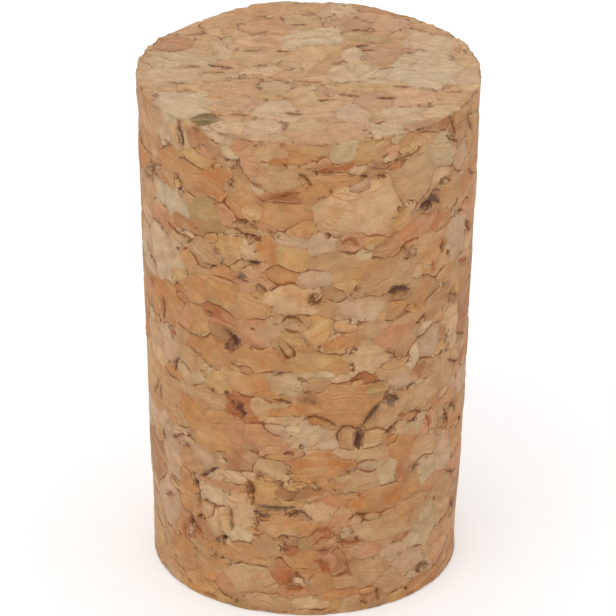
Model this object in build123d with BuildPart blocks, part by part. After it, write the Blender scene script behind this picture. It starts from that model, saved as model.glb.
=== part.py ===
from build123d import *
from math import atan2, cos, degrees, radians, sin, tan
import os

# A tapered bottle stopper, pressed in one piece from cork granules and a little binder and ground
# to shape. It stands on its narrow end: the origin is at the centre of that end and +Z is up.
# Millimetres and degrees throughout. An azimuth starts at the front (-Y) and grows towards the right (+X).

# Driving dimensions
wide_diameter = 24.0  # the end that stays proud of the bottle's mouth
narrow_diameter = 21.6  # the end that goes in first
stopper_length = 37.0
wide_rim_bevel = 0.12  # the ground rims are crisp, only dulled by handling
narrow_rim_bevel = 0.12

# Where granules have crumbled off the wide rim, at the back left, they leave one sloping flat
worn_azimuth = -136.0
worn_reach = 0.8  # how far the flat comes in from the rim, across the end
worn_drop = 0.6  # how far it runs down the side

# Crevices are left where the granules don't quite close up and where a crumb has come away. Each
# is a narrow V with pointed ends, deepest in the middle. Its place is a share of the face that it
# lies in, so that it stays on that face at any size of stopper.
crevice_mouth_angle = 62.0
# On the side: azimuth, share of the length from the narrow end up, lean from level, length, depth
side_crevices = [
    # in front, from the wide rim down
    (-48, 0.952, -66, 2.4, 0.34),
    (8, 0.935, -12, 3.4, 0.22),
    (66, 0.92, -75, 2.4, 0.30),
    (-7, 0.89, 14, 2.2, 0.22),
    (-66, 0.86, 30, 3.0, 0.30),
    (37, 0.845, -4, 1.8, 0.22),
    (44.5, 0.835, -14, 2.2, 0.34),
    (-21, 0.825, -14, 2.4, 0.28),
    (-11, 0.81, -24, 2.0, 0.26),
    (-19, 0.8, -6, 2.0, 0.24),
    (21, 0.765, -8, 2.0, 0.24),
    (-18, 0.746, 4, 2.0, 0.28),
    (71, 0.73, -48, 2.8, 0.36),
    (-36, 0.72, -4, 2.4, 0.28),
    (-23, 0.705, -10, 2.0, 0.30),
    (33, 0.68, -10, 2.6, 0.28),
    (60, 0.62, 24, 2.0, 0.30),
    (43.5, 0.592, 18, 2.0, 0.30),
    (-27, 0.58, -50, 2.0, 0.42),
    (-42, 0.525, -8, 2.0, 0.24),
    (-54, 0.48, 50, 2.2, 0.38),
    (2, 0.46, -32, 2.2, 0.26),
    (24, 0.42, 48, 3.6, 0.34),
    (33, 0.385, 30, 2.4, 0.34),
    (69, 0.38, -78, 2.8, 0.32),
    (19, 0.375, 72, 1.8, 0.34),
    (60, 0.36, 20, 3.0, 0.34),
    (-46, 0.35, 6, 2.0, 0.28),
    (-36, 0.285, 28, 2.4, 0.30),
    (44, 0.282, -14, 2.0, 0.32),
    (-20, 0.262, -78, 2.0, 0.36),
    (-44, 0.245, -62, 2.6, 0.38),
    (-9, 0.232, 3, 4.0, 0.32),
    (-37, 0.21, -8, 2.0, 0.30),
    (22, 0.21, -10, 2.4, 0.24),
    (-45, 0.15, -38, 2.8, 0.38),
    (-32, 0.145, 4, 2.0, 0.34),
    (9, 0.118, 4, 2.0, 0.22),
    (-5, 0.062, 4, 2.2, 0.28),
    (48, 0.052, -6, 2.4, 0.30),
    # round the back
    (98, 0.9, 12, 2.8, 0.30),
    (84, 0.62, 75, 2.4, 0.32),
    (104, 0.55, -24, 3.4, 0.36),
    (86, 0.34, -10, 2.8, 0.30),
    (96, 0.17, 40, 2.4, 0.34),
    (121, 0.74, 8, 3.2, 0.28),
    (112, 0.36, -14, 2.8, 0.30),
    (128, 0.2, -52, 2.6, 0.40),
    (136, 0.88, 20, 2.6, 0.30),
    (149, 0.54, 5, 3.6, 0.32),
    (141, 0.37, 35, 2.8, 0.34),
    (157, 0.12, -16, 3.0, 0.34),
    (166, 0.83, -35, 2.4, 0.38),
    (172, 0.35, 24, 3.0, 0.30),
    (-170, 0.6, 55, 2.2, 0.36),
    (-163, 0.22, -8, 3.4, 0.32),
    (-158, 0.76, -5, 3.0, 0.30),
    (-150, 0.92, -10, 2.8, 0.30),
    (-143, 0.45, -28, 2.6, 0.38),
    (-134, 0.13, 12, 2.6, 0.34),
    (-125, 0.72, -6, 3.6, 0.32),
    (-113, 0.22, 46, 2.2, 0.40),
    (-104, 0.6, -35, 2.4, 0.32),
    (-97, 0.87, -22, 2.8, 0.30),
    (-93, 0.44, 10, 3.0, 0.34),
    (-84, 0.7, 70, 2.4, 0.34),
    (-80, 0.27, -15, 2.8, 0.34),
]
# On either end: azimuth, share of the radius from the centre out, lean from the X axis, length, depth
wide_end_crevices = [
    (-88, 0.56, -35, 2.6, 0.24),
    (-52, 0.20, -28, 2.8, 0.24),
    (143, 0.46, -48, 2.2, 0.28),
    (-152, 0.50, 32, 2.4, 0.22),
    (36, 0.41, -12, 2.0, 0.26),
    (29, 0.78, -50, 2.0, 0.26),
    (74, 0.80, 38, 2.4, 0.24),
    (102, 0.62, 64, 2.2, 0.24),
    (172, 0.76, 14, 2.6, 0.24),
]
narrow_end_crevices = [
    (18, 0.36, 25, 3.0, 0.30),
    (75, 0.70, -40, 2.4, 0.34),
    (-160, 0.62, 12, 2.8, 0.32),
    (-38, 0.50, 48, 3.2, 0.28),
]

wide_radius = wide_diameter / 2
narrow_radius = narrow_diameter / 2
flare = wide_radius - narrow_radius
flank_slope = degrees(atan2(flare, stopper_length))
up = Vector(0, 0, 1)


def outward(azimuth):
    """The level direction out of the stopper at an azimuth."""
    return Vector(sin(radians(azimuth)), -cos(radians(azimuth)), 0)


def side_place(azimuth, share, lean):
    """A section plane square to a crevice in the side: X lies across the crevice and Y points out of the cork."""
    out = outward(azimuth)
    level = up.cross(out)
    along_flank = up * cos(radians(flank_slope)) + out * sin(radians(flank_slope))
    along = level * cos(radians(lean)) + along_flank * sin(radians(lean))
    centre = out * (narrow_radius + flare * share) + up * (stopper_length * share)
    return Plane(centre, x_dir=level.cross(along_flank).cross(along), z_dir=along)


def end_place(height, radius, out, azimuth, share, lean):
    """The same for a crevice in a level end, which faces out."""
    along = Vector(cos(radians(lean)), sin(radians(lean)), 0)
    return Plane(outward(azimuth) * (radius * share) + up * height, x_dir=out.cross(along), z_dir=along)


# Every crevice as its section plane, length and depth
crevices = []
for azimuth, share, lean, length, depth in side_crevices:
    crevices.append((side_place(azimuth, share, lean), length, depth))
for azimuth, share, lean, length, depth in wide_end_crevices:
    crevices.append((end_place(stopper_length, wide_radius, up, azimuth, share, lean), length, depth))
for azimuth, share, lean, length, depth in narrow_end_crevices:
    crevices.append((end_place(0, narrow_radius, -up, azimuth, share, lean), length, depth))

# The worn flat leans so that it runs from its reach on the end to its drop on the side
worn_edge = outward(worn_azimuth) * (wide_radius - worn_reach) + up * stopper_length
worn_flat = Plane(worn_edge, z_dir=outward(worn_azimuth) * worn_drop + up * worn_reach)

os.makedirs("parts", exist_ok=True)

with BuildPart() as stopper:
    # the ground body, turned from its half section
    with BuildSketch(Plane.XZ):
        with BuildLine():
            Polyline(
                (0, 0),
                (narrow_radius, 0),
                (wide_radius, stopper_length),
                (0, stopper_length),
                close=True,
            )
        make_face()
    revolve(axis=Axis.Z)
    rims = stopper.edges().filter_by(GeomType.CIRCLE).sort_by(Axis.Z)
    chamfer(rims[-1], length=wide_rim_bevel)
    chamfer(rims[0], length=narrow_rim_bevel)
    # the worn stretch of the wide rim
    split(bisect_by=worn_flat, keep=Keep.BOTTOM)
    # the crevices, each the mark of a wheel with a V edge that dips into the skin
    for place, crevice_length, crevice_depth in crevices:
        wheel_radius = (crevice_length**2 / 4 + crevice_depth**2) / (2 * crevice_depth)
        wheel_centre = place.origin + place.y_dir * (wheel_radius - crevice_depth)
        flank_height = 2 * crevice_depth  # the V reaches as far above the skin as below it
        flank_width = flank_height * tan(radians(crevice_mouth_angle / 2))
        with BuildSketch(place):
            with BuildLine():
                Polyline(
                    (0, -crevice_depth),
                    (flank_width, crevice_depth),
                    (-flank_width, crevice_depth),
                    close=True,
                )
            make_face()
        revolve(axis=Axis(wheel_centre, place.x_dir), mode=Mode.SUBTRACT)

stopper.part.label = "stopper"
export_step(stopper.part, "parts/stopper.step")
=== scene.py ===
import itertools
import math

import bpy
import numpy as np
from mathutils import Matrix, Vector
from mathutils.bvhtree import BVHTree


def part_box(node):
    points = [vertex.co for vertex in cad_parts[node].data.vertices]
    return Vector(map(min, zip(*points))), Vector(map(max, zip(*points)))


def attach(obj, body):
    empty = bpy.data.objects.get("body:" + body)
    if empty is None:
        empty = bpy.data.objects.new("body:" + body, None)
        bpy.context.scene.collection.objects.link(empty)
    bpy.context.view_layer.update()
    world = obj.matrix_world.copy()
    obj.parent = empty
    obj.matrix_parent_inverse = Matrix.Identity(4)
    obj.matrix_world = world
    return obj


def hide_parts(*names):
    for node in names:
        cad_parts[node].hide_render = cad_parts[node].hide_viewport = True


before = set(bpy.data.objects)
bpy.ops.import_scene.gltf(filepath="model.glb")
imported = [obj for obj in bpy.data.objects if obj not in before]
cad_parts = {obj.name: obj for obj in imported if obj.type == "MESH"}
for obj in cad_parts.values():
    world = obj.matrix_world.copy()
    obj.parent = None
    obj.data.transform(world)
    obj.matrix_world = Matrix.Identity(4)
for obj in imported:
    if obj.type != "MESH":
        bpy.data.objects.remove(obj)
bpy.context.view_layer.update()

mm = 0.001  # the skin is worked out in millimetres and turned to metres when its mesh is made
print("stage: frame loaded")


def toLinear(hexCode):  # an sRGB hex colour as the linear values that shaders work in
    channels = [int(hexCode[place:place + 2], 16) / 255 for place in (0, 2, 4)]
    return tuple(c / 12.92 if c <= 0.04045 else ((c + 0.055) / 1.055) ** 2.4 for c in channels)


# Camera: the photo's own view, a long lens looking down at the front. Places are metres, angles degrees and
# the lens and its sensor millimetres

camera = {
    "distance": 0.44768,
    "elevation": 26.535,
    "roll": 0.454,
    "aim": (0.000072, 0.0, 0.01869),
    "lens": 373.0,
    "sensor": 36.0,
}


def makeCamera():
    rise = math.radians(camera["elevation"])
    roll = math.radians(camera["roll"])
    back = Vector((0, -math.cos(rise), math.sin(rise)))
    level = Vector((1, 0, 0))
    lift = Vector((0, math.sin(rise), math.cos(rise)))
    right = level * math.cos(roll) + lift * math.sin(roll)
    up = lift * math.cos(roll) - level * math.sin(roll)
    data = bpy.data.cameras.new("photoCamera")
    data.lens = camera["lens"]
    data.sensor_width = camera["sensor"]
    data.clip_start = 0.01
    data.clip_end = 50
    rig = bpy.data.objects.new("photoCamera", data)
    bpy.context.scene.collection.objects.link(rig)
    turn = Matrix((right, up, back)).transposed().to_4x4()
    rig.matrix_world = Matrix.Translation(Vector(camera["aim"]) + back * camera["distance"]) @ turn
    bpy.context.scene.camera = rig


makeCamera()
print("stage: camera")


# The cork: granules of bark pressed together with a little binder, then ground to shape. Azimuths are
# in degrees from the front (-Y) towards the right (+X). All other sizes here are millimetres

cork = {
    "seed": 8,
    "columns": 376,  # points round the side, about 0.19 mm apart
    "spacing": 0.19,  # of the rows of points up the side
    "edgeRings": 10,  # rings of points round the wide end, outside its square grid
    "edgeSpacing": 0.1995,
    "narrowBevel": 0.12,
    "wideBevel": 0.12,
    "bevelDull": 0.28,  # a bevel is rounded by a row this share of its width from the corner
    "endDepth": 0.1,  # skin that lies no further than this from an end counts as that end
    "castReach": 2.5,  # how far the solid is looked for, from 1 mm above the skin
    "solidDepthLeast": 0.06,  # below this the solid's depth is only its facets
    "flatness": 1.75,  # granules are pressed flat along the stopper by about this much
    "inwards": 0.4,  # how far in a granule on the side reaches, as a share of its width
    "waver": ((1.1, 0.24), (0.4, 0.09)),  # lump size and reach of what makes granule outlines uneven
    # granules are looked for in blocks this wide, as far off as this many times their own reach
    "searchBlock": 3.0,
    "searchReach": 1.7,
    "leastSteepness": 0.2,  # keeps the gap to a seam within bounds where two granules lie alike
    "levelRange": 0.07,  # how far granules lie below each other
    "domeDepth": 0.04,  # granules slope off this much towards their seams
    "domeReach": 0.5,
    "gapLimit": 0.8,  # how far off a seam the material still sees it
    "seamDepth": 0.05,  # of a seam that gapes by the full width
    "seamFullWidth": 0.1,
    "seamSlope": 0.2,
    # half widths of the dark seams. One below nought is a seam that has closed up
    "pairHash": (7919, 104729, 1009),  # primes that turn two granules' numbers into a share for their seam
    "seamsClosed": 0.56,
    "seamSpread": 0.09,  # how much the seams differ
    "seamWander": 0.04,  # how much a seam comes and goes along its run
    "levelSeamGapeAndShade": 0.1,  # seams that lie level gape this much more than upright ones, in part as painted shade under a granule that overlaps the one below
    "endSeams": -0.023,  # and the ends' ones this much less than the mean
    "gapeWidth": 0.055,  # added on the routes of gaping seams
    "gapeReach": 0.5,  # how far from a gaping seam's route the seams are opened
    "gapeFull": 1.3,  # over 1, so that they are open in full some way off the route
    "markedSeams": 0.05,  # taken off beside a dark mark
    "markBeside": 0.25,  # how far beside it that goes
    "seamLimits": (-0.04, 0.075),
    "markTaper": (6.4, 0.1),  # how soon a mark gets to its full width, and the share of it at its tips
    "markDepth": 0.9,  # how deep a dark mark is cut, as a share of its half width
    "markDeepest": 0.16,  # the most that it is cut
    "markProfile": (1.2, 0.7),  # flat at the bottom, then sloping up to the skin beyond its edge
    "markLeast": 0.02,  # keeps the profile within bounds at the tips
    "markWaver": ((0.1, 0.55, 30), (0.1, 1.6, 33)),  # reach, lump size and seed of what bends the marks
    "markReach": 0.45,  # how far off a mark the skin still knows of it
    "routeMargin": 0.7,  # how far round a route the skin is looked at
    "noMark": (1.0, -0.05),  # the offset and width where no mark is near
    "grainRelief": 0.012,
    "rimCrumble": 0.3,  # how much is missing where a rim has crumbled
    "rimReach": 0.5,
    "rimCrumbs": 0.1,  # above nought more than half of the rims has crumbled
    # lump size and seed of what comes and goes over the skin
    "seamNoise": (1.1, 71),
    "grainNoise": (0.45, 72),
    "toneNoise": (1.7, 73),
    "rimNoise": (0.5, 74),
    "grainSwing": 0.35,  # how far the grain turns from granule to granule, in radians
    "toneSpread": 0.05,  # how much lighter or darker than its tone a granule may be
    "toneSoftness": 0.9,  # how much it varies how softly granules run into each other
    "meanTone": "C08E5F",
    "toneEvening": 0.2,  # how far the granules' tones are drawn towards the mean one
    "paintedLightEndTone": "DDBC96",  # the ends are paler: in part for their cut-across face, in part painted light for the stronger light on the wide end
    "paintedLightEndEvening": 0.36,
    "darkTone": 0.16,  # granules darker than this, in linear light, don't pale there
}

# Tones of cork granules, as the eye reads them under plain light
tones = {
    "tan": "C4976A",
    "orangeTan": "C88E5A",
    "orange": "C67E45",
    "rust": "B1633A",
    "golden": "CF9F66",
    "paleGold": "DAB083",
    "cream": "E0C298",
    "paleBuff": "D6B691",
    "pinkGrey": "CEA988",
    "rosy": "CD9169",
    "mauve": "A97852",
    "brownRose": "B0784F",
    "olive": "AE8C59",
    "greyGreen": "C8AD85",
    "paleGrey": "D2BC98",
    "darkOlive": "66582C",
}

# Granules placed where the photo shows them, by their tones. On the side: azimuth, height, width,
# tallness and, where it isn't level, lean
sideGranules = {
    "paleBuff": [
        (-60, 35.6, 3.2, 1.6, -30), (-31, 36.7, 2.8, 0.9), (-60, 26, 4.4, 3.4, -8), (-74, 25, 3.6, 3.6),
        (2.5, 14.3, 3, 1.3, -10),
    ],
    "paleGold": [
        (-49, 35.4, 1.6, 1.8, -50), (10, 31.6, 2.8, 3.2), (23.5, 31.6, 3.2, 3.6), (-5, 24.9, 3.2, 1.8),
        (21.5, 20.1, 3, 1.9), (61, 20.4, 2, 3, 5), (-8, 15.6, 2.6, 0.5), (15, 12.8, 1.6, 0.5),
        (-28, 8.6, 1.4, 1.1), (-38.5, 7.3, 1, 0.9), (-35, 6.4, 1, 1.7), (-31, 6.8, 0.9, 1.9),
        (-23.5, 7.8, 1.6, 2.6), (3, 8.2, 2.2, 1.1),
    ],
    "golden": [
        (-40, 34.4, 2.8, 1.2), (20, 36, 2.6, 1.6), (35, 35.4, 1.3, 0.7), (-19, 31.4, 1.8, 0.9),
        (23, 29.2, 1.4, 0.8), (33, 30.4, 1.4, 1.6), (-27, 28.4, 1.7, 1.7), (-50, 25, 2.4, 1, 6),
        (14.5, 26.4, 1.6, 1.6), (4.5, 22.6, 2, 2), (-41, 21.9, 1.3, 2), (1, 20.2, 3.4, 1.3),
        (-32.5, 17.6, 1.7, 1.2), (24.5, 13.8, 1.2, 1.5), (-14, 10, 2.2, 1.6), (26.5, 7.5, 1.3, 0.6),
    ],
    "brownRose": [
        (-39.5, 36.3, 1.5, 1, -10), (61, 35, 1.6, 1.8), (-60, 31.8, 1.8, 1, -10), (-48, 29.3, 2.2, 1, -20),
        (52, 22.8, 2.4, 1.6), (56, 20, 1.4, 1.2), (-23, 11.9, 2, 1.8), (-7.5, 9.8, 1.8, 0.7),
        (2, 9.6, 1.6, 0.9), (14, 4.4, 1.5, 2.2),
    ],
    "cream": [
        (-27, 35.6, 0.8, 0.8), (-20, 28.3, 1.3, 1.4), (40, 19.5, 0.9, 1.7, -15), (45.5, 21.2, 1.1, 0.9, 30),
        (7.5, 19.1, 1.3, 0.4), (-4, 14.7, 1, 0.7, -20), (-41.5, 8.8, 0.9, 1.6, 20), (-34, 8.7, 2.2, 1.1),
        (-34, 10.4, 1, 0.9, 30), (-28, 10.6, 2, 0.8, -6), (-26, 5.9, 1.6, 1), (3, 1.1, 2, 0.9),
        (43, 4.7, 1.3, 0.7),
    ],
    "rosy": [
        (-20, 36.5, 2.4, 1.2), (-19, 34.7, 1.2, 1.4), (28, 35.6, 1, 0.8), (-28.5, 30.8, 1.5, 1.2),
        (16, 29.4, 1.8, 1.2), (38.5, 29.3, 2.4, 1.6), (32.5, 21.5, 3.4, 2.3), (-47, 21.8, 1.8, 1.6),
        (-25.5, 13.8, 1.2, 2.2), (-16, 13.9, 2, 1.6), (-31, 9.7, 3.4, 0.5, 4), (12, 9.4, 2.8, 0.7),
        (7, 6.4, 2, 1.2), (-32.5, 1.7, 1.5, 1.7), (-4, 2, 1.8, 0.8), (61, 2.6, 2.2, 1.4),
        (49, 13.5, 1.4, 1.2), (8, 4.2, 1.6, 1.4),
    ],
    "tan": [
        (-12, 36.2, 2.8, 1), (-11, 34.2, 3.6, 1.6), (38, 33.4, 3, 3.4), (-21, 30.1, 2.6, 0.7, -12),
        (-38, 27.4, 2, 1.4), (27, 26.3, 5, 2.2, 8), (-4.5, 23.2, 2.7, 1), (-8.5, 21.2, 1.6, 0.6, -25),
        (22.5, 22.2, 1.2, 1.2, 20), (44, 24.6, 2.2, 1.8, -20), (8, 27.9, 3.2, 0.9), (31, 19, 2.2, 1.2),
        (-17, 16.3, 1.2, 1.2), (28.5, 15.3, 2.4, 1.7), (14.8, 14.3, 1.6, 1.4), (25, 12.4, 1.9, 0.9),
        (-37, 16, 2.4, 1.6), (45, 16.2, 3.6, 2, -8), (57, 17, 2.2, 2.4), (-58, 15, 2.6, 3, 10),
        (48, 11.8, 2.6, 1.4), (-12, 11.6, 2.8, 1.3), (19, 10.6, 3.2, 1.4), (30, 6.4, 3.4, 2.2),
        (-49, 10.6, 2.2, 1.6), (42, 7.4, 2.2, 1), (9.5, 25.4, 1.4, 0.8), (61, 6.6, 2.6, 3.4),
        (16, 2.6, 2, 0.9), (-21, 2.6, 3.6, 2), (-14.5, 5.2, 1.8, 1.8), (24, 3, 2.4, 2), (34, 1.8, 2.6, 1.6),
        (-14, 1, 2.8, 1.2),
    ],
    "orangeTan": [
        (-1, 36.3, 3.4, 1.1), (7, 34.2, 3.6, 0.7), (41, 36.2, 1.6, 1.2), (59, 36.2, 2, 1, -10),
        (-42, 33, 2.4, 2.4, 20), (-23.5, 32.6, 2, 3), (1, 33.2, 2.6, 1.2), (-54, 33.2, 1.6, 2.4, -10),
        (-9, 31.5, 3.4, 1.4), (45, 27.8, 1.8, 1.4), (57, 30.8, 2.4, 2.2, 10), (-9, 26.9, 1.8, 1.1),
        (-30, 25.1, 3.2, 1.3, -8), (-21, 24, 3.6, 1.4, -5), (-17, 20.2, 4.6, 1.6), (11, 21.6, 2, 1.2),
        (32.5, 23.3, 1.9, 1.1), (-41, 24.4, 2.4, 1.6), (-52, 22.2, 1.6, 2.2, 20), (12, 19.8, 1.8, 1),
        (-36, 19.7, 3, 1.6, -12), (14.5, 16.7, 4.4, 2.8), (-19, 18, 2.8, 1.3), (-34, 13.2, 3.6, 1.8),
        (-46, 14.8, 2.6, 1.8), (-32, 14.9, 2.2, 0.8), (-6, 7.4, 4, 1.7), (-47, 7.6, 1.8, 1.8),
        (42, 8.8, 1.6, 1.6), (-39, 2.4, 2.2, 1.8), (12, 1.5, 2.8, 0.8), (50, 0.9, 2.2, 0.9),
        (-24, 4.3, 4, 1.5), (-42, 4.2, 2.2, 1.4), (-52, 2.6, 2.4, 2.6, 20),
    ],
    "greyGreen": [
        (11.5, 36.2, 2.2, 1.5), (51, 34.3, 2.8, 1.7, -25), (-47.5, 17.3, 1.8, 0.9, -20),
        (-8, 18.4, 2.4, 1.3), (42.5, 13.8, 2, 1.1), (31, 10.9, 1.6, 1.7), (49.5, 9.6, 1.8, 1.7),
        (51, 5.6, 2.2, 2.6), (13.5, 6.4, 1, 0.7),
    ],
    "rust": [
        (5.5, 35.4, 0.8, 1, 20), (10.5, 35.2, 1.6, 0.5), (51.5, 36.6, 0.9, 0.8), (-8, 32.7, 2.6, 0.6, 4),
        (-32, 22.8, 2.6, 1.2, -25), (-24, 16.2, 2.2, 1.5), (37.5, 10.5, 1.2, 1.3, -10), (-41, 5.5, 1.6, 1),
        (-8.5, 3.5, 1.3, 1.7),
    ],
    "mauve": [
        (22, 34.3, 2, 0.6), (46, 31, 1.4, 1.2), (-31, 21.6, 1.4, 0.8), (33, 24.6, 2, 0.6),
        (1.5, 17.3, 1.1, 0.9, -20),
    ],
    "orange": [
        (31, 34.7, 1.2, 0.6), (-31, 33.2, 2.6, 2.4), (-15, 28.4, 1.3, 2.6, 8), (-8.5, 16.2, 2.2, 0.6),
        (3, 11.8, 3.6, 1.5), (29, 8.9, 3.6, 1.5),
    ],
    "olive": [(-37, 30.2, 2.2, 2.2), (26, 17.5, 2, 0.8)],
    "paleGrey": [(-55, 30.2, 3.4, 1.6, -10), (-42, 17.3, 1.2, 0.7)],
    "pinkGrey": [
        (-5, 29.4, 2.2, 0.9, -4), (4, 29.2, 1.7, 1.5), (63, 33.2, 1.6, 1.8), (2, 26.6, 1.8, 1),
        (62, 27.2, 2.8, 3), (18, 24.1, 2.6, 1.7), (-58, 18.8, 2, 2.4), (48, 19.9, 2.4, 1.7),
        (-57, 10.4, 2, 3.4), (18.5, 7.3, 0.8, 0.6), (-62, 6, 2.6, 3.4, 10), (35, 4.2, 1.8, 1.1),
        (43, 2.9, 2.2, 1.6), (61, 10.4, 1.8, 2.4),
    ],
}

# Where grinding took a little more, so that the outline isn't quite round: azimuth, height, how wide and how
# tall in degrees and millimetres, and how deep
groundFlats = [
    (88, 2.6, 24, 3.4, 0.16), (88, 35, 24, 3, 0.07), (-90, 3.4, 24, 2.6, 0.08), (-90, 34, 24, 1.3, 0.13),
    (147, 37, 2.5, 1.0, 0.2), (-116, 36.8, 2, 0.8, 0.14),
]

# On the wide end: x, y, width, tallness and lean
endGranules = {
    "rust": [(-9.4, 4.4, 2.6, 1.8), (4.6, 10.5, 2.4, 0.9, -15)],
    "greyGreen": [(-9.2, 1.6, 4, 2.4), (5.2, -9.4, 2.6, 1.6)],
    "paleBuff": [
        (-9.4, -0.8, 4.2, 2.8), (2.6, -0.4, 2, 2.8), (3, 2.6, 1.6, 2.4), (-2.6, -6.4, 2.4, 2.4),
        (2, 10.6, 1.8, 1.6), (8.3, 5.2, 3.6, 3),
    ],
    "golden": [
        (-8.6, -2.9, 1.8, 1.2), (-7.2, 6, 2.4, 1.6, 20), (0.4, 2.6, 3.2, 3), (-0.2, -4.4, 1.8, 3.4, 10),
        (3.2, -2.6, 2.6, 1.8, -20), (10.6, 2.4, 1.6, 2.4), (-0.2, -9.4, 2.8, 2.2),
    ],
    "paleGrey": [(-8.9, -5.6, 3.6, 3.6), (0.2, 5.4, 3, 2.2), (4, 0, 2.4, 2.4, 10), (8.3, 0.6, 4.4, 5.8)],
    "tan": [
        (-9.6, -2.8, 1.6, 1.4), (-6.2, -1, 2.4, 1.6), (-7.6, 3.6, 1.4, 2.4, 10), (-3.4, 2.2, 3.2, 3),
        (-2.4, -2.8, 2.4, 1.8), (-0.6, 8.4, 2.4, 2.2), (-3.4, -11, 3, 0.9),
    ],
    "darkOlive": [(-7.1, -8, 1.7, 1.3)],
    "orangeTan": [
        (-5, -3, 3.6, 2.8), (-8.2, 6.4, 1.8, 1.4, 30), (-1.2, -0.6, 2.6, 1.4, -15), (-6, 8.4, 3, 2, 20),
        (0, 10.9, 2.8, 1.2), (6.4, 6, 1.4, 2), (8.8, 7.4, 2.4, 1.6, -45), (9.8, -3.8, 2.2, 2.4),
        (0.8, -11.2, 3, 0.9),
    ],
    "rosy": [
        (-4.6, -5.6, 3.6, 2.4), (-5.6, 0.8, 1.6, 2.2), (-3.4, 5, 2.4, 1.8, 20), (-3, 7.8, 3.2, 1.8),
        (5.6, 8.2, 2, 2.4), (7.2, -4.2, 3.2, 2.4), (2.6, -9.6, 2.6, 1.8),
    ],
    "pinkGrey": [
        (-6.1, 3.2, 1, 3.6, 8), (3, -7, 2, 2.2, 30), (6.6, -7, 3, 2.4), (10.8, -0.6, 1.6, 2.2),
        (-3, -9.2, 2.6, 2.2),
    ],
    "paleGold": [
        (-3.2, 0.2, 2.6, 1.6), (0.6, -6.6, 2.4, 1.8), (9, -6.6, 2.4, 1.8, 30), (-5.4, -9.4, 2.2, 1.6),
    ],
    "brownRose": [
        (4.8, 2.8, 2.6, 3), (0.9, -3.4, 1.2, 2, 20), (4.6, -4.8, 2.2, 2.6), (3, 8, 2.8, 1.8),
        (7.8, -8.6, 2.4, 1.4, 30),
    ],
    "orange": [(-3.6, 10.2, 3.4, 1.8, 5)],
    "olive": [(3.9, 5.8, 2.2, 1.4, -20)],
}
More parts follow.
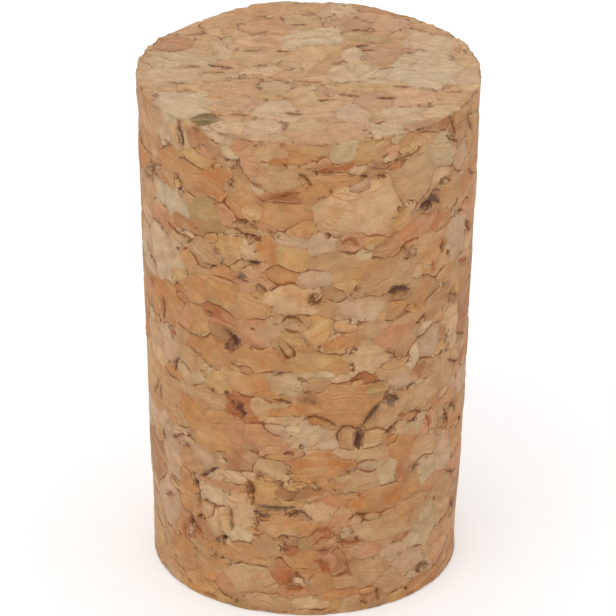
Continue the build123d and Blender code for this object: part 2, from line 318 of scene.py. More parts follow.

# Dark marks, by colour and width: crumbled spots and streaks of dark bark, and seams that gape,
# which have no width of their own. On the side each runs through these azimuths and heights
sideMarks = {
    ("rust", 0.12): [
        ((9, 4.9), (12, 5.4), (15.5, 4.6)), ((15.6, 4.4), (16.4, 3.2)), ((12, 2.9), (15, 3.3), (18, 3.0)),
    ],
    ("brown", 0.18): [
        ((-9, 23.2), (-6.5, 23.8), (-3, 23.8), (-0.5, 23.2)), ((-7.4, 22.8), (-5, 22.5), (-2.6, 22.6)),
    ],
    ("seam", 0): [
        ((-36.5, 35.6), (-34.5, 35.3), (-32.5, 35.4)), ((-58, 35.4), (-56.5, 34.4), (-55, 33.8)),
        ((-33, 31.7), (-26.5, 31.7)), ((-27, 30.8), (-22, 30.4), (-15, 29.9)),
        ((-27, 30), (-21, 29.5), (-15, 29.4)), ((-14, 30.7), (-11, 30.1), (-9.5, 29.95), (-6, 30.5)),
        ((-5, 35.4), (-2, 35.1), (2, 34.9), (12, 34.7), (24, 34.6)), ((45, 35.6), (48, 35.2)),
        ((36, 31.2), (39, 31), (42, 30.9)), ((26, 30.4), (28, 29.9), (30, 29.6)),
        ((17, 30.1), (21, 29.9), (25, 29.6)), ((64, 36), (66, 34), (65, 32)),
        ((57, 29.8), (60, 29.4), (62, 30.2)), ((-43, 29), (-37, 29.1), (-31, 28.8)),
        ((3, 28.1), (12, 28.2), (20, 28.5), (26, 28.2)), ((-11, 27.9), (-8.5, 27.9), (-6, 27.7)),
        ((-29, 27.4), (-26, 27.6), (-23, 27.5)), ((-41, 26.9), (-37, 26.5), (-33, 26.6), (-30, 26.9)),
        ((-30, 26), (-27, 25.8), (-24.5, 26)), ((-14, 25.9), (-10, 25.8), (-7.5, 26.3), (-6.5, 27.1)),
        ((-38, 23.5), (-34, 23.6), (-30.5, 23.3), (-27, 22.2)), ((-60, 23), (-58.5, 21.4), (-58, 20.2)),
        ((-56, 22.6), (-55.6, 21.4), (-55, 20.4)), ((-46.5, 19.4), (-43, 19.3), (-38, 19.1)),
        ((-6.5, 22.7), (-4, 22.5)), ((0, 27.25), (2, 27), (4.5, 27.2)),
        ((12, 25.8), (15, 26.8), (19, 27.3)), ((13, 24.9), (21, 25.1), (26, 24.9)),
        ((27, 24.6), (30, 25.3), (34, 25.5), (38, 25.1)), ((40.6, 21.3), (42, 20.7)),
        ((50, 20.6), (51.5, 20.8), (53, 21.4)), ((6, 23.5), (8, 22.8), (8.4, 21.8)),
        ((10, 22.5), (15, 22.7), (20, 22.5)), ((48, 26), (49.5, 25.4)), ((59.4, 23.1), (61, 22.7)),
        ((68, 26.2), (71, 25.2)), ((-46, 20.6), (-43, 19.8), (-41, 19.4)),
        ((-30, 19.2), (-22, 19.2), (-12, 19.4)), ((14, 19), (20, 18.8), (27, 18.2)),
        ((-18, 15.5), (-12, 15.3), (-7, 15), (-3, 15.3), (0, 15.6)), ((5, 17.2), (8, 16.6), (10, 16)),
        ((-21, 14.9), (-17, 15.1), (-12, 14.9), (-8, 14.8)), ((-26, 17.4), (-21, 17), (-18.5, 16.2)),
        ((-37, 14.6), (-32, 14.5)), ((-56, 11.2), (-53, 11.8), (-50, 12.2)), ((-19.5, 12.5), (-19, 11.2)),
        ((-19, 12.3), (-14, 12.5), (-10, 12.3)), ((-41, 7.2), (-36, 7.4), (-32, 7.6)),
        ((-35, 7.4), (-33.5, 6), (-33.5, 4)), ((-66, 6.3), (-60, 6.8), (-56, 6.9)),
        ((22, 14.9), (25, 14.4), (29, 14.1)), ((26.6, 14.3), (27.8, 13.2)), ((59, 14.8), (64, 14.2)),
        ((44.6, 10.5), (48, 10.6), (51, 10.6)), ((15, 11.5), (18, 11.9), (22, 11.8), (27, 11.5)),
        ((17, 8.1), (21, 7.8), (23, 7.1)), ((12, 8.2), (12.8, 8)), ((68, 14), (70, 11.6)),
        ((-5, 5.8), (-1, 6.2), (3, 7)), ((11, 3.2), (14, 3.5), (16, 3)),
        ((53.6, 1.7), (60, 1.3), (66, 0.9)), ((-33, 0.7), (-27, 0.7)),
    ],
    ("black", 0.2): [((41.4, 21.8), (43, 22.1), (45.5, 22.4)), ((-42, 6.5), (-41, 6.3))],
    ("black", 0.35): [((-27, 21.4), (-25.8, 21.7)), ((-32, 5.3), (-30.2, 5.5))],
    ("brown", 0.2): [
        ((-7.5, 35.4), (-6.3, 35.1)), ((-3, 34.7), (-1, 34.4), (0.6, 33.9)), ((23, 34.1), (26.5, 33.9)),
        ((38, 36.9), (40, 36.8)), ((53.5, 32.2), (55.5, 31.8)), ((-56, 28.5), (-50, 28.2), (-43, 28.2)),
        ((-66, 32), (-61, 31.5)), ((-46.6, 27.1), (-45.6, 27.3)), ((-19.6, 22.3), (-18.4, 22.5)),
        ((-9.6, 21.5), (-8.4, 20.8), (-6.6, 20.4), (-4, 20.7), (-5, 21.2), (-7.4, 21.7)),
        ((14.2, 25.2), (15.2, 25.3)), ((-11.5, 17.2), (-8, 17.1), (-5, 17)), ((0, 17.8), (1.1, 17.9)),
        ((-1, 15.6), (3, 15.9), (7, 15.7)), ((-1, 15.6), (3, 15.9), (7, 15.7), (10, 15.3), (12.5, 15)),
        ((-48, 12.5), (-46, 12.6), (-44, 12.3)), ((-19.3, 9.3), (-19.6, 8.5)),
        ((-43, 6.4), (-41, 6.7), (-39.4, 6.3)), ((-36, 3.9), (-34.8, 3.7)),
        ((11.8, 13.7), (11.6, 14.5), (13, 15.1), (17, 15), (19.5, 14.5)),
        ((21, 14.8), (21.6, 15.5), (24, 16.1), (27, 16.5)), ((14.4, 11.4), (15.6, 11.2)),
        ((17.5, 6.3), (20, 5.9)), ((10, 10.1), (10.8, 9.9)), ((52, 35.5), (56, 35), (60, 34.4)),
        ((66, 19.2), (71, 18.6), (76, 18.2)), ((68, 31.6), (73, 30.8), (78, 30.4)),
        ((60, 17.6), (66, 16.9), (70, 16.8)), ((62, 8.6), (68, 7.9), (73, 7.6)),
        ((-65, 6.4), (-61, 6.8), (-57, 6.9)), ((-74, 25.4), (-70, 24.6), (-64, 24.2)),
        ((21, 0.9), (24, 0.6)), ((40.4, 0.8), (41.6, 0.6)), ((-26.6, 0.7), (-25.6, 0.5)),
    ],
    ("brown", 0.25): [
        ((-16.6, 29.4), (-15.6, 29.35)), ((1.6, 24.7), (3.6, 24.9), (5.4, 25.3)),
        ((66, 36.2), (68, 35.2), (71, 34.4)), ((-75, 30.9), (-70, 30.7), (-66, 31.2)),
        ((-66.4, 32.4), (-64.4, 31.4)), ((-60.6, 22.4), (-59.4, 21.4), (-60, 20.6)),
        ((-57, 11.5), (-53, 12), (-49, 12.5)), ((-7.4, 5.3), (-6.2, 5.3)), ((28.4, 1.7), (28.7, 0.6)),
    ],
    ("brown", 0.3): [
        ((50, 32.3), (52, 31.8)), ((-17.4, 26.1), (-16, 25.7), (-14.4, 25.5)),
        ((0.4, 24.8), (2, 25.5), (4, 25.6)), ((-20.6, 10.6), (-19.2, 10.1), (-19, 9.4)),
        ((58.6, 14.1), (61, 13.4), (61.6, 12.6)), ((54.5, 36.8), (56, 36), (58, 35.3)),
        ((70, 27.6), (73, 26.9), (76, 26.3)), ((52.4, 27.4), (53.4, 26.6)),
        ((64, 13.9), (67, 13.6), (69, 12.8)), ((74, 11.7), (79, 11.2)),
    ],
    ("brown", 0.35): [((29, 14), (32, 14), (34, 14.4))],
    ("brown", 0.4): [((-47.2, 6), (-46, 5.4))],
    ("olive", 0.2): [
        ((-41, 36.8), (-38, 36.7)), ((-42.6, 8.4), (-41.6, 7.5)),
        ((-29.5, 8.2), (-28.2, 7.4), (-28.4, 6.2)), ((-76, 21.1), (-71, 20.6), (-66, 20.6)),
        ((-72, 13.8), (-68, 14.6), (-66, 15.4)), ((-58, 2), (-56.6, 1.9)), ((-54, 1.5), (-52, 1.3)),
    ],
    ("olive", 0.3): [((50, 31.9), (54, 32.3))],
    ("olive", 0.35): [((42.8, 10.5), (44, 10.3)), ((59, 22.8), (62, 22.6), (65, 22.3))],
    ("olive", 0.5): [((46.6, 2.2), (50, 1.9), (53.6, 1.7))],
    ("plum", 0.2): [
        ((17.5, 34.4), (20, 34.2)), ((-37, 23.1), (-33.6, 22.9)),
        ((-42.5, 9.7), (-39, 10), (-36.5, 10.4), (-34, 10.8)), ((-18, 7.8), (-16.6, 7)),
        ((61, 29), (66, 28.6)),
    ],
    ("plum", 0.25): [
        ((0.3, 33.9), (1.4, 33.8)), ((45.4, 30.4), (46.2, 31.8)),
        ((-20, 27.7), (-17.8, 27.6), (-15.5, 27.8)), ((-50.4, 26.8), (-48.9, 27)),
        ((-8, 12.9), (-6, 13.1), (-4, 12.9)), ((-30, 16.9), (-28, 17.1)),
    ],
    ("plum", 0.3): [
        ((-55, 17.9), (-54, 17)), ((-27.6, 16.4), (-26.4, 16.6)), ((-23, 15.7), (-21.4, 15.9)),
        ((-45, 9.4), (-44, 9.2), (-43, 8.8)), ((27.6, 16.6), (31, 16.8), (35, 16.5)),
    ],
    ("plum", 0.35): [((28.5, 24.9), (33, 25.1), (38, 24.8))],
    ("plum", 0.4): [((-18.6, 8.1), (-15.8, 7.8), (-13, 7.9))],
    ("plum", 0.45): [((-48.4, 36.6), (-46.8, 35.9), (-45.4, 35.1)), ((70.5, 5.4), (73, 5), (75, 4.5))],
    ("plum", 0.5): [((40, 30.7), (43.6, 30.9), (46, 31.3), (50, 30.6))],
    ("plum", 0.6): [((-26, 16), (-22.6, 16.5))],
    ("plum", 0.7): [((19.8, 14.8), (19.2, 13.9), (18.8, 13.1))],
    ("plum", 0.8): [((-29, 20.6), (-26.6, 21), (-24, 21.4))],
    ("rust", 0.2): [
        ((-13, 32.5), (-7, 33), (-2, 33.3)), ((3.5, 34.9), (7, 35.1)), ((-55.6, 19.7), (-54, 19.6)),
        ((-27.5, 15.6), (-24, 15.4), (-22, 15.5)), ((-50.8, 5.4), (-50.6, 3.8)),
        ((1, 6.4), (4, 7), (8, 6.9), (11.5, 6.3)), ((3, 5.8), (6, 6.4), (9.6, 6.2)),
        ((12, 5.9), (17, 5.8), (23, 5.7)), ((19.4, 9.7), (19.8, 9.3)), ((8, 4.2), (8.8, 3.4)),
        ((3, 4.6), (6, 4.2), (7, 3.4)), ((-41, 0.35), (-35, 0.3)),
    ],
    ("rust", 0.25): [
        ((34.6, 15.1), (38, 14.9)), ((47.8, 14.3), (49.6, 13.7), (49.8, 12.9)), ((47.4, 26.4), (49, 25.4)),
        ((-57, 20.3), (-52, 20)), ((-7, 2.2), (-4, 2.1), (0, 2.3)),
        ((-50, 0.8), (-48, 0.6)),
    ],
    ("rust", 0.3): [((11, 29.2), (14, 29.6), (18, 29)), ((-18.6, 6.6), (-17.4, 6.6))],
    ("rust", 0.35): [((64, 24.9), (69, 24.6), (73, 24.3))],
    ("rust", 0.4): [((-5.6, 2.9), (-4.4, 2.5))],
    ("slate", 0.2): [((-18.5, 8.7), (-14, 8.5), (-9, 8.55), (-3, 8.8))],
    ("slate", 0.25): [((-35, 5), (-32.6, 5.1))],
    ("slate", 0.3): [((22, 15.3), (24.6, 16), (26.4, 16.3))],
    ("slate", 0.4): [((-24.5, 26.1), (-22.6, 26.35), (-20.8, 26.3)), ((30, 16.3), (33.4, 16.3))],
}

# On the wide end each runs through these x and y
endMarks = {
    ("seam", 0): [
        ((-5, 4.6), (-4.5, 5.1), (-4, 5.4)), ((-3, 4.7), (-2.6, 5), (-2.2, 5.2)), ((1.5, 6.3), (2.5, 6.3)),
        ((7, -9.6), (7.4, -9.3), (7.8, -9)), ((-10.2, 3.5), (-8.6, 3.4)),
        ((-9.6, -1.8), (-8, -2.1), (-6.6, -1.7)), ((-3.4, -4.2), (-2, -4.6), (-0.8, -4.3)),
        ((1, 3.8), (2.2, 4.1)), ((6.4, 7.6), (7.8, 7.3)), ((-8.2, 7.2), (-6.8, 7.5)),
    ],
    ("brown", 0.16): [
        ((-4.5, 3.4), (-3.1, 3.4)), ((-2.5, 3.3), (-1.1, 3.3)), ((-1.4, 7.8), (-0.1, 7.8)),
        ((-2.2, -1.2), (-1.6, -1.6), (-1, -1.9)), ((-5.3, -7.2), (-4, -7.2)), ((-1.6, -7), (-0.3, -7)),
        ((3.5, 3.5), (4.8, 3.5)), ((3, 7), (4.2, 7)), ((4.6, 0.7), (6, 0.7)), ((5.7, -2.4), (7, -2.4)),
        ((2, -3.9), (3.3, -3.9)), ((0.6, -4.8), (1.9, -4.8)), ((4.2, -8.6), (5.1, -8)),
        ((9.4, -6.8), (10.7, -6.8)), ((-11.2, 3.3), (-9.9, 3.3)),
    ],
    ("brown", 0.18): [((-8.2, 6), (-7, 6.1)), ((-7.2, -0.3), (-5.8, -0.3))],
    ("olive", 0.2): [((-7, -7.3), (-5.8, -7.3))],
    ("plum", 0.24): [
        ((-7, 0.9), (-6.2, 0.7), (-5.2, 0.3)), ((2.9, 4.5), (4.2, 4.5)), ((4.7, -4.3), (6, -4.3)),
    ],
    ("rust", 0.16): [((-0.8, -1.9), (0.2, -1.9), (1.2, -1.8)), ((9.3, -3.2), (10.7, -3.2))],
}

# The marks' colours, and how far each hides the cork under it
markColours = {
    "brown": ("693816", 0.8),
    "rust": ("A04B20", 0.65),
    "olive": ("745A2C", 0.7),
    "plum": ("5B3530", 0.85),
    "slate": ("6A6054", 0.75),
    "black": ("2C1A12", 0.95),
}

# What fills the rest: for each size of granule its width and how many tries are made to seat one
fill = {
    "seed": 41,
    "room": 8000,  # the most granules that are kept
    "sizes": ((4.6, 1500), (3.6, 2600), (2.8, 3600), (2.0, 5000), (1.4, 6000), (1.0, 5000)),
    "sizeRange": (0.86, 1.14),  # how far one granule's width strays from its size
    "crowding": (1.0, 1.12),  # with placed granules and with each other, where 1 lets two only touch
    "tallness": (0.45, 0.85),  # on the side, as a share of the width
    "lean": 13.0,
    "endTallness": (0.5, 0.9),
    "endLean": 22.0,
    "toneShares": {
        "tan": 23, "orangeTan": 26, "golden": 12, "paleGold": 8, "paleBuff": 4, "pinkGrey": 5, "rosy": 9,
        "orange": 7, "rust": 2, "mauve": 2, "brownRose": 4, "cream": 2, "olive": 2, "greyGreen": 2,
    },
    # marks and gaping seams round the back, where none are listed
    "backMarks": 120,
    "backAzimuths": ((78, 165), (88, 178)),  # on the right and on the left
    "backLengths": (0.7, 2.8),
    "backBend": 0.2,
    "backMargin": 0.4,  # how far they start from either rim
    "backKinds": (
        ("seam", 0), ("seam", 0), ("seam", 0), ("seam", 0), ("seam", 0), ("seam", 0), ("brown", 0.2),
        ("brown", 0.2), ("brown", 0.25), ("rust", 0.25), ("plum", 0.2), ("plum", 0.35), ("olive", 0.2),
        ("slate", 0.25),
    ),
}


def outward(azimuth):  # the level direction out of the stopper
    return np.array([math.sin(math.radians(azimuth)), -math.cos(math.radians(azimuth)), 0.0])


def tiltedAxes(level, rise, face, lean):
    # the long, short and inward directions of a granule that leans on its face
    swing = math.radians(lean)
    along = level * math.cos(swing) + rise * math.sin(swing)
    across = rise * math.cos(swing) - level * math.sin(swing)
    return np.array([along, across, face])


def sideRadius(body, height):  # of the tapered side
    return body["narrowRadius"] + (body["wideRadius"] - body["narrowRadius"]) * height / body["length"]


def sideGranule(body, tone, azimuth, height, width, tallness, lean=0):
    face = outward(azimuth)
    level = np.array([-face[1], face[0], 0.0])
    axes = tiltedAxes(level, np.array([0, 0, 1.0]), face, lean)
    halves = np.array([width / 2, tallness / 2, width * cork["inwards"]])
    centre = face * sideRadius(body, height) + np.array([0, 0, height])
    return {"centre": centre, "frame": axes / halves[:, None],
            "reach": halves.max(), "tone": tone, "along": axes[0], "across": axes[1]}


def endGranule(z, tone, x, y, width, tallness, lean=0):
    axes = tiltedAxes(np.array([1.0, 0, 0]), np.array([0, 1.0, 0]), np.array([0, 0, 1.0]), lean)
    halves = np.array([width / 2, tallness / 2, max(width, tallness) / 2 / cork["flatness"]])
    return {"centre": np.array([x, y, z], float), "frame": axes / halves[:, None],
            "reach": halves.max(), "tone": tone, "along": axes[0], "across": axes[1]}


def seatGranules(body):
    # the placed granules, then smaller and smaller ones in the gaps that are left
    granules = [sideGranule(body, tone, *row) for tone, rows in sideGranules.items() for row in rows]
    topZ = body["length"]
    granules += [endGranule(topZ, tone, *row) for tone, rows in endGranules.items() for row in rows]
    random = np.random.default_rng(fill["seed"])
    shares = np.array(list(fill["toneShares"].values()), float)
    shares = shares / shares.sum()
    names = list(fill["toneShares"])
    crowding = np.full(fill["room"], fill["crowding"][1])
    crowding[:len(granules)] = fill["crowding"][0]
    centres = np.zeros((fill["room"], 3))
    frames = np.zeros((fill["room"], 3, 3))
    count = len(granules)
    centres[:count] = [g["centre"] for g in granules]
    frames[:count] = [g["frame"] for g in granules]
    sideArea = math.pi * (body["wideRadius"] + body["narrowRadius"]) * body["length"]
    wideArea = math.pi * body["wideRadius"] ** 2
    narrowArea = math.pi * body["narrowRadius"] ** 2
    for width, tries in fill["sizes"]:
        for attempt in range(tries):
            size = width * random.uniform(*fill["sizeRange"])
            place = random.uniform(0, sideArea + wideArea + narrowArea)
            tone = names[random.choice(len(names), p=shares)]
            if place < sideArea:
                tallness = size * random.uniform(*fill["tallness"])
                new = sideGranule(body, tone, random.uniform(-180, 180), random.uniform(0, topZ),
                                  size, tallness, random.normal(0, fill["lean"]))
            else:
                z, limit = (topZ, "wideRadius") if place < sideArea + wideArea else (0, "narrowRadius")
                radius = body[limit] * math.sqrt(random.uniform(0, 1))
                turn = random.uniform(0, 2 * math.pi)
                tallness = size * random.uniform(*fill["endTallness"])
                new = endGranule(z, tone, radius * math.cos(turn), radius * math.sin(turn),
                                 size, tallness, random.normal(0, fill["endLean"]))
            away = centres[:count] - new["centre"]
            theirs = np.linalg.norm(np.einsum("nij,nj->ni", frames[:count], away), axis=1)
            ours = np.linalg.norm(away @ new["frame"].T, axis=1)
            if np.all(1 / np.maximum(theirs, 1e-6) + 1 / np.maximum(ours, 1e-6) < crowding[:count]):
                granules.append(new)
                centres[count] = new["centre"]
                frames[count] = new["frame"]
                count += 1
    return granules


def softNoise(points, lump, seed):
    # smooth random values from -1 to 1, in lumps of about the given size
    cells = 48
    lattice = np.random.default_rng(seed).uniform(-1, 1, (cells, cells, cells))
    cell = points / lump
    base = np.floor(cell).astype(int)
    share = cell - base
    share = share * share * (3 - 2 * share)
    total = np.zeros(len(points))
    for corner in itertools.product((0, 1), repeat=3):
        weight = np.prod(np.where(corner, share, 1 - share), axis=1)
        place = (base + corner) % cells
        total += weight * lattice[place[:, 0], place[:, 1], place[:, 2]]
    return total


def waver(points):  # moves points a little, so that what is measured from them gets uneven outlines
    moved = points.copy()
    for step, (lump, reach) in enumerate(cork["waver"]):
        for axis in range(3):
            moved[:, axis] += reach * softNoise(points, lump, 10 * step + axis)
    return moved


def nearestGranules(points, granules):
    # for each point the granule that it lies in, the next one, and how far off the seam between them is
    centres = np.array([g["centre"] for g in granules])
    frames = np.array([g["frame"] for g in granules])
    reaches = np.array([g["reach"] for g in granules])
    uneven = waver(points)
    block = cork["searchBlock"]
    cells = np.floor(uneven / block).astype(int)
    keys = cells @ np.array([1, 1000, 1000000])  # one number for each block of space
    order = np.argsort(keys, kind="stable")
    starts = np.flatnonzero(np.diff(keys[order], prepend=keys[order][0] - 1))
    first = np.zeros(len(points), int)
    second = np.zeros(len(points), int)
    gap = np.zeros(len(points))
    for group in np.split(order, starts[1:]):
        middle = (cells[group[0]] + 0.5) * block
        reach = block + reaches * cork["searchReach"]
        near = np.flatnonzero(np.linalg.norm(centres - middle, axis=1) < reach)
        away = uneven[group][:, None, :] - centres[near][None]
        local = np.einsum("nij,pnj->pni", frames[near], away)
        distance = np.sqrt((local ** 2).sum(-1)) + 1e-9
        pick = np.argpartition(distance, 1, axis=1)[:, :2]
        rows = np.arange(len(group))[:, None]
        swap = distance[rows, pick][:, 0] > distance[rows, pick][:, 1]
        pick[swap] = pick[swap][:, ::-1]
        two = distance[rows, pick]
        slopes = np.einsum("pnji,pnj->pni", frames[near][pick], local[rows, pick]) / two[..., None]
        steepness = np.linalg.norm(slopes[:, 1] - slopes[:, 0], axis=1)
        first[group] = near[pick[:, 0]]
        second[group] = near[pick[:, 1]]
        gap[group] = (two[:, 1] - two[:, 0]) / np.maximum(steepness, cork["leastSteepness"])
    return first, second, gap


def backMarks(body):  # marks and gaping seams round the back, in the same form as the placed ones
    random = np.random.default_rng(fill["seed"])
    right, left = fill["backAzimuths"]
    margin = fill["backMargin"]
    rows = []
    for step in range(fill["backMarks"]):
        azimuth = random.choice((random.uniform(*right), -random.uniform(*left)))
        length = random.uniform(*fill["backLengths"])
        lean = math.radians(random.normal(0, fill["lean"]))
        start = np.array([azimuth, random.uniform(margin, body["length"] - margin)])
        turn = math.degrees(length * math.cos(lean) / body["narrowRadius"])
        run = np.array([turn, length * math.sin(lean)])
        middle = start + run / 2 + (0, random.normal(0, fill["backBend"]))
        kind, width = fill["backKinds"][random.integers(len(fill["backKinds"]))]
        rows.append(("side", kind, width, (start, middle, start + run)))
    return rows


def markOffsets(points, body):
    # for each point how far to one side or the other of the nearest mark it is, how wide the mark is there,
    # its colour, and how much the seams there gape
    uneven = points.copy()
    for axis in range(3):
        uneven[:, axis] += sum(
            reach * softNoise(points, lump, seed + axis) for reach, lump, seed in cork["markWaver"])
    azimuth = np.arctan2(uneven[:, 0], -uneven[:, 1])
    unrolled = np.column_stack([azimuth * sideRadius(body, uneven[:, 2]), uneven[:, 2]])
    flat = {"side": unrolled, "end": uneven[:, :2]}
    onEnd = points[:, 2] > body["length"] - cork["wideBevel"] / 2
    onFace = {"side": ~onEnd & (points[:, 2] > cork["narrowBevel"] / 2), "end": onEnd}
    farOffset, noWidth = cork["noMark"]
    offset = np.full(len(points), farOffset)
    width = np.full(len(points), noWidth)
    colour = np.zeros((len(points), 4))
    nearest = np.full(len(points), farOffset)
    gape = np.zeros(len(points))
    steep, least = cork["markTaper"]
    rows = backMarks(body)
    for face, marks in (("side", sideMarks), ("end", endMarks)):
        rows += [(face, *kind, route) for kind, routes in marks.items() for route in routes]
    for face, kind, broad, route in rows:
        place = flat[face]
        route = np.array(route, float)
        if face == "side":
            route[:, 0] = np.radians(route[:, 0]) * sideRadius(body, route[:, 1])
        runs = np.linalg.norm(np.diff(route, axis=0), axis=1)
        low, high = route.min(axis=0) - cork["routeMargin"], route.max(axis=0) + cork["routeMargin"]
        inside = np.flatnonzero(onFace[face] & np.all((place > low) & (place < high), axis=1))
        covered = 0.0
        for start, end, run in zip(route[:-1], route[1:], runs):
            direction = (end - start) / run
            away = place[inside] - start
            along = np.clip(away @ direction, 0, run)
            distance = np.linalg.norm(away - along[:, None] * direction, axis=1)
            share = (covered + along) / runs.sum()
            taper = np.clip(steep * share * (1 - share), least, 1)  # pointed at both ends of the route
            covered += run
            if kind == "seam":
                opened = np.clip(cork["gapeFull"] - distance / cork["gapeReach"], 0, 1) * (1 + taper) / 2
                gape[inside] = np.maximum(gape[inside], opened)
                continue
            wide = broad / 2 * taper
            close = (distance - wide < nearest[inside]) & (distance < cork["markReach"])
            at = inside[close]
            aside = np.sign(direction[0] * away[:, 1] - direction[1] * away[:, 0] + 1e-9)
            nearest[at] = (distance - wide)[close]
            offset[at] = (distance * aside)[close]
            width[at] = wide[close]
            hexCode, cover = markColours[kind]
            colour[at] = (*toLinear(hexCode), cover)
    return offset, width, colour, gape


def readBody():
    # the solid's search tree and the sizes of its body, read from the frame
    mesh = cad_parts["stopper"].data
    tree = BVHTree.FromPolygons([v.co / mm for v in mesh.vertices], [list(p.vertices) for p in mesh.polygons])
    low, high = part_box("stopper")
    length = high.z / mm
    clear = 1.0  # measured this far from either end, clear of the bevels
    wellOutside = 30
    radii = []
    for height in (clear, length - clear):
        reaches = []
        for azimuth in range(0, 360, 7):
            face = Vector(outward(azimuth))
            hit = tree.ray_cast(face * wellOutside + Vector((0, 0, height)), -face)[0]
            reaches.append(hit.xy.length)
        radii.append(float(np.percentile(reaches, 75)))  # so that crevices, which lie further in, don't count
    flare = (radii[1] - radii[0]) / (length - 2 * clear) * clear
    return {"tree": tree, "length": length, "narrowRadius": radii[0] - flare, "wideRadius": radii[1] + flare}


def discGrid(radius, height, ring, columns, firstNew):
    # a square grid bent round into a disc, whose outline is a ring of points that exists already
    across = columns // 4
    steps = np.linspace(-1, 1, across + 1)
    a, b = np.meshgrid(steps, steps, indexing="ij")
    a, b = a.ravel(), b.ravel()
    wide = np.abs(a) >= np.abs(b)
    reach = np.where(wide, a, b)
    safe = np.where(reach == 0, 1, reach)
    turn = np.where(wide, b / safe * math.pi / 4, math.pi / 2 - a / safe * math.pi / 4)
    points = np.column_stack([reach * np.cos(turn), reach * np.sin(turn), np.zeros(len(a))]) * radius
    points[:, 2] = height
    outline = np.maximum(np.abs(a), np.abs(b)) > 1 - 1e-9
    around = np.arctan2(points[:, 1], points[:, 0]) + math.pi / 4
    column = np.round(around / (2 * math.pi) * columns).astype(int) % columns
    index = np.where(outline, ring[column], 0)
    index[~outline] = firstNew + np.arange(np.count_nonzero(~outline))
    index = index.reshape(across + 1, across + 1)
    quads = np.stack([index[:-1, :-1], index[1:, :-1], index[1:, 1:], index[:-1, 1:]], axis=-1).reshape(-1, 4)
    return points[~outline], quads


def skinGrid(body):
    # rows of points from the narrow rim up the side and over the wide rim, closed by a disc at either end
    columns = cork["columns"]
    narrow, wide, length = body["narrowRadius"], body["wideRadius"], body["length"]
    low, high = cork["narrowBevel"], cork["wideBevel"]
    sideRows = round((length - low - high) / cork["spacing"]) + 1
    heights = np.linspace(low, length - high, sideRows)
    radii = narrow + (wide - narrow) * heights / length
    inner = wide - high - cork["edgeSpacing"] * np.arange(cork["edgeRings"])
    dull = cork["bevelDull"]
    rowRadii = np.concatenate([[narrow - low, narrow - low * dull], radii, [wide - high * dull], inner])
    rowHeights = np.concatenate([
        [0, low * dull], heights, [length - high * dull], np.full(len(inner), length)])
    turns = -math.pi / 4 + np.arange(columns) * 2 * math.pi / columns
    side = np.stack([
        rowRadii[:, None] * np.cos(turns),
        rowRadii[:, None] * np.sin(turns),
        np.repeat(rowHeights[:, None], columns, axis=1),
    ], axis=-1).reshape(-1, 3)
    index = np.arange(len(side)).reshape(len(rowRadii), columns)
    following = np.roll(index, -1, axis=1)
    sideQuads = np.stack([index[:-1], following[:-1], following[1:], index[1:]], axis=-1).reshape(-1, 4)
    bottom, bottomQuads = discGrid(rowRadii[0], 0, index[0], columns, len(side))
    top, topQuads = discGrid(rowRadii[-1], length, index[-1], columns, len(side) + len(bottom))
    points = np.concatenate([side, bottom, top])
    quads = np.concatenate([sideQuads, bottomQuads[:, ::-1], topQuads])
    return points, quads


def meanAtPoints(points, triangles, values):  # for each point the mean of what its triangles have
    total = np.zeros((len(points), *values.shape[1:]))
    count = np.zeros(len(points))
    for k in range(3):
        np.add.at(total, triangles[:, k], values)
        np.add.at(count, triangles[:, k], 1)
    return (total.T / count).T


def pointNormals(points, triangles):
    a, b, c = (points[triangles[:, k]] for k in range(3))
    normals = meanAtPoints(points, triangles, np.cross(b - a, c - a))
    return normals / np.linalg.norm(normals, axis=1)[:, None]


def seamPoints(points, quads, labels, gap):
    # each grid line that crosses a seam has its nearer end moved onto the seam, so that seams are crisp
    lines = np.concatenate([quads[:, [k, (k + 1) % 4]] for k in range(4)])
    lines = np.unique(np.sort(lines, axis=1), axis=0)
    a, b = lines[labels[lines[:, 0]] != labels[lines[:, 1]]].T
    share = gap[a] / np.maximum(gap[a] + gap[b], 1e-9)
    target = points[a] + (points[b] - points[a]) * share[:, None]
    mover = np.where(share < 0.5, a, b)
    total = np.zeros_like(points)
    count = np.zeros(len(points))
    np.add.at(total, mover, target)
    np.add.at(count, mover, 1)
    onSeam = count > 0
    moved = points.copy()
    moved[onSeam] = total[onSeam] / count[onSeam][:, None]
    return moved, onSeam


def splitQuads(points, quads, labels, onSeam):
    # each square is cut into two triangles, along the seam where one runs across it: of its two diagonals
    # the shorter one, but rather one along a seam, and rather not one that a seam crosses
    cost = []
    for a, b in ((0, 2), (1, 3)):
        one, two = quads[:, a], quads[:, b]
        torn = ~onSeam[one] & ~onSeam[two] & (labels[one] != labels[two])
        along = onSeam[one] & onSeam[two]
        length = np.linalg.norm(points[one] - points[two], axis=1)
        cost.append(length + 100.0 * torn - 1.0 * along)
    even = (cost[0] <= cost[1])[:, None]
    halfOne = np.where(even, quads[:, [0, 1, 2]], quads[:, [0, 1, 3]])
    halfTwo = np.where(even, quads[:, [0, 2, 3]], quads[:, [1, 2, 3]])
    return np.concatenate([halfOne, halfTwo])


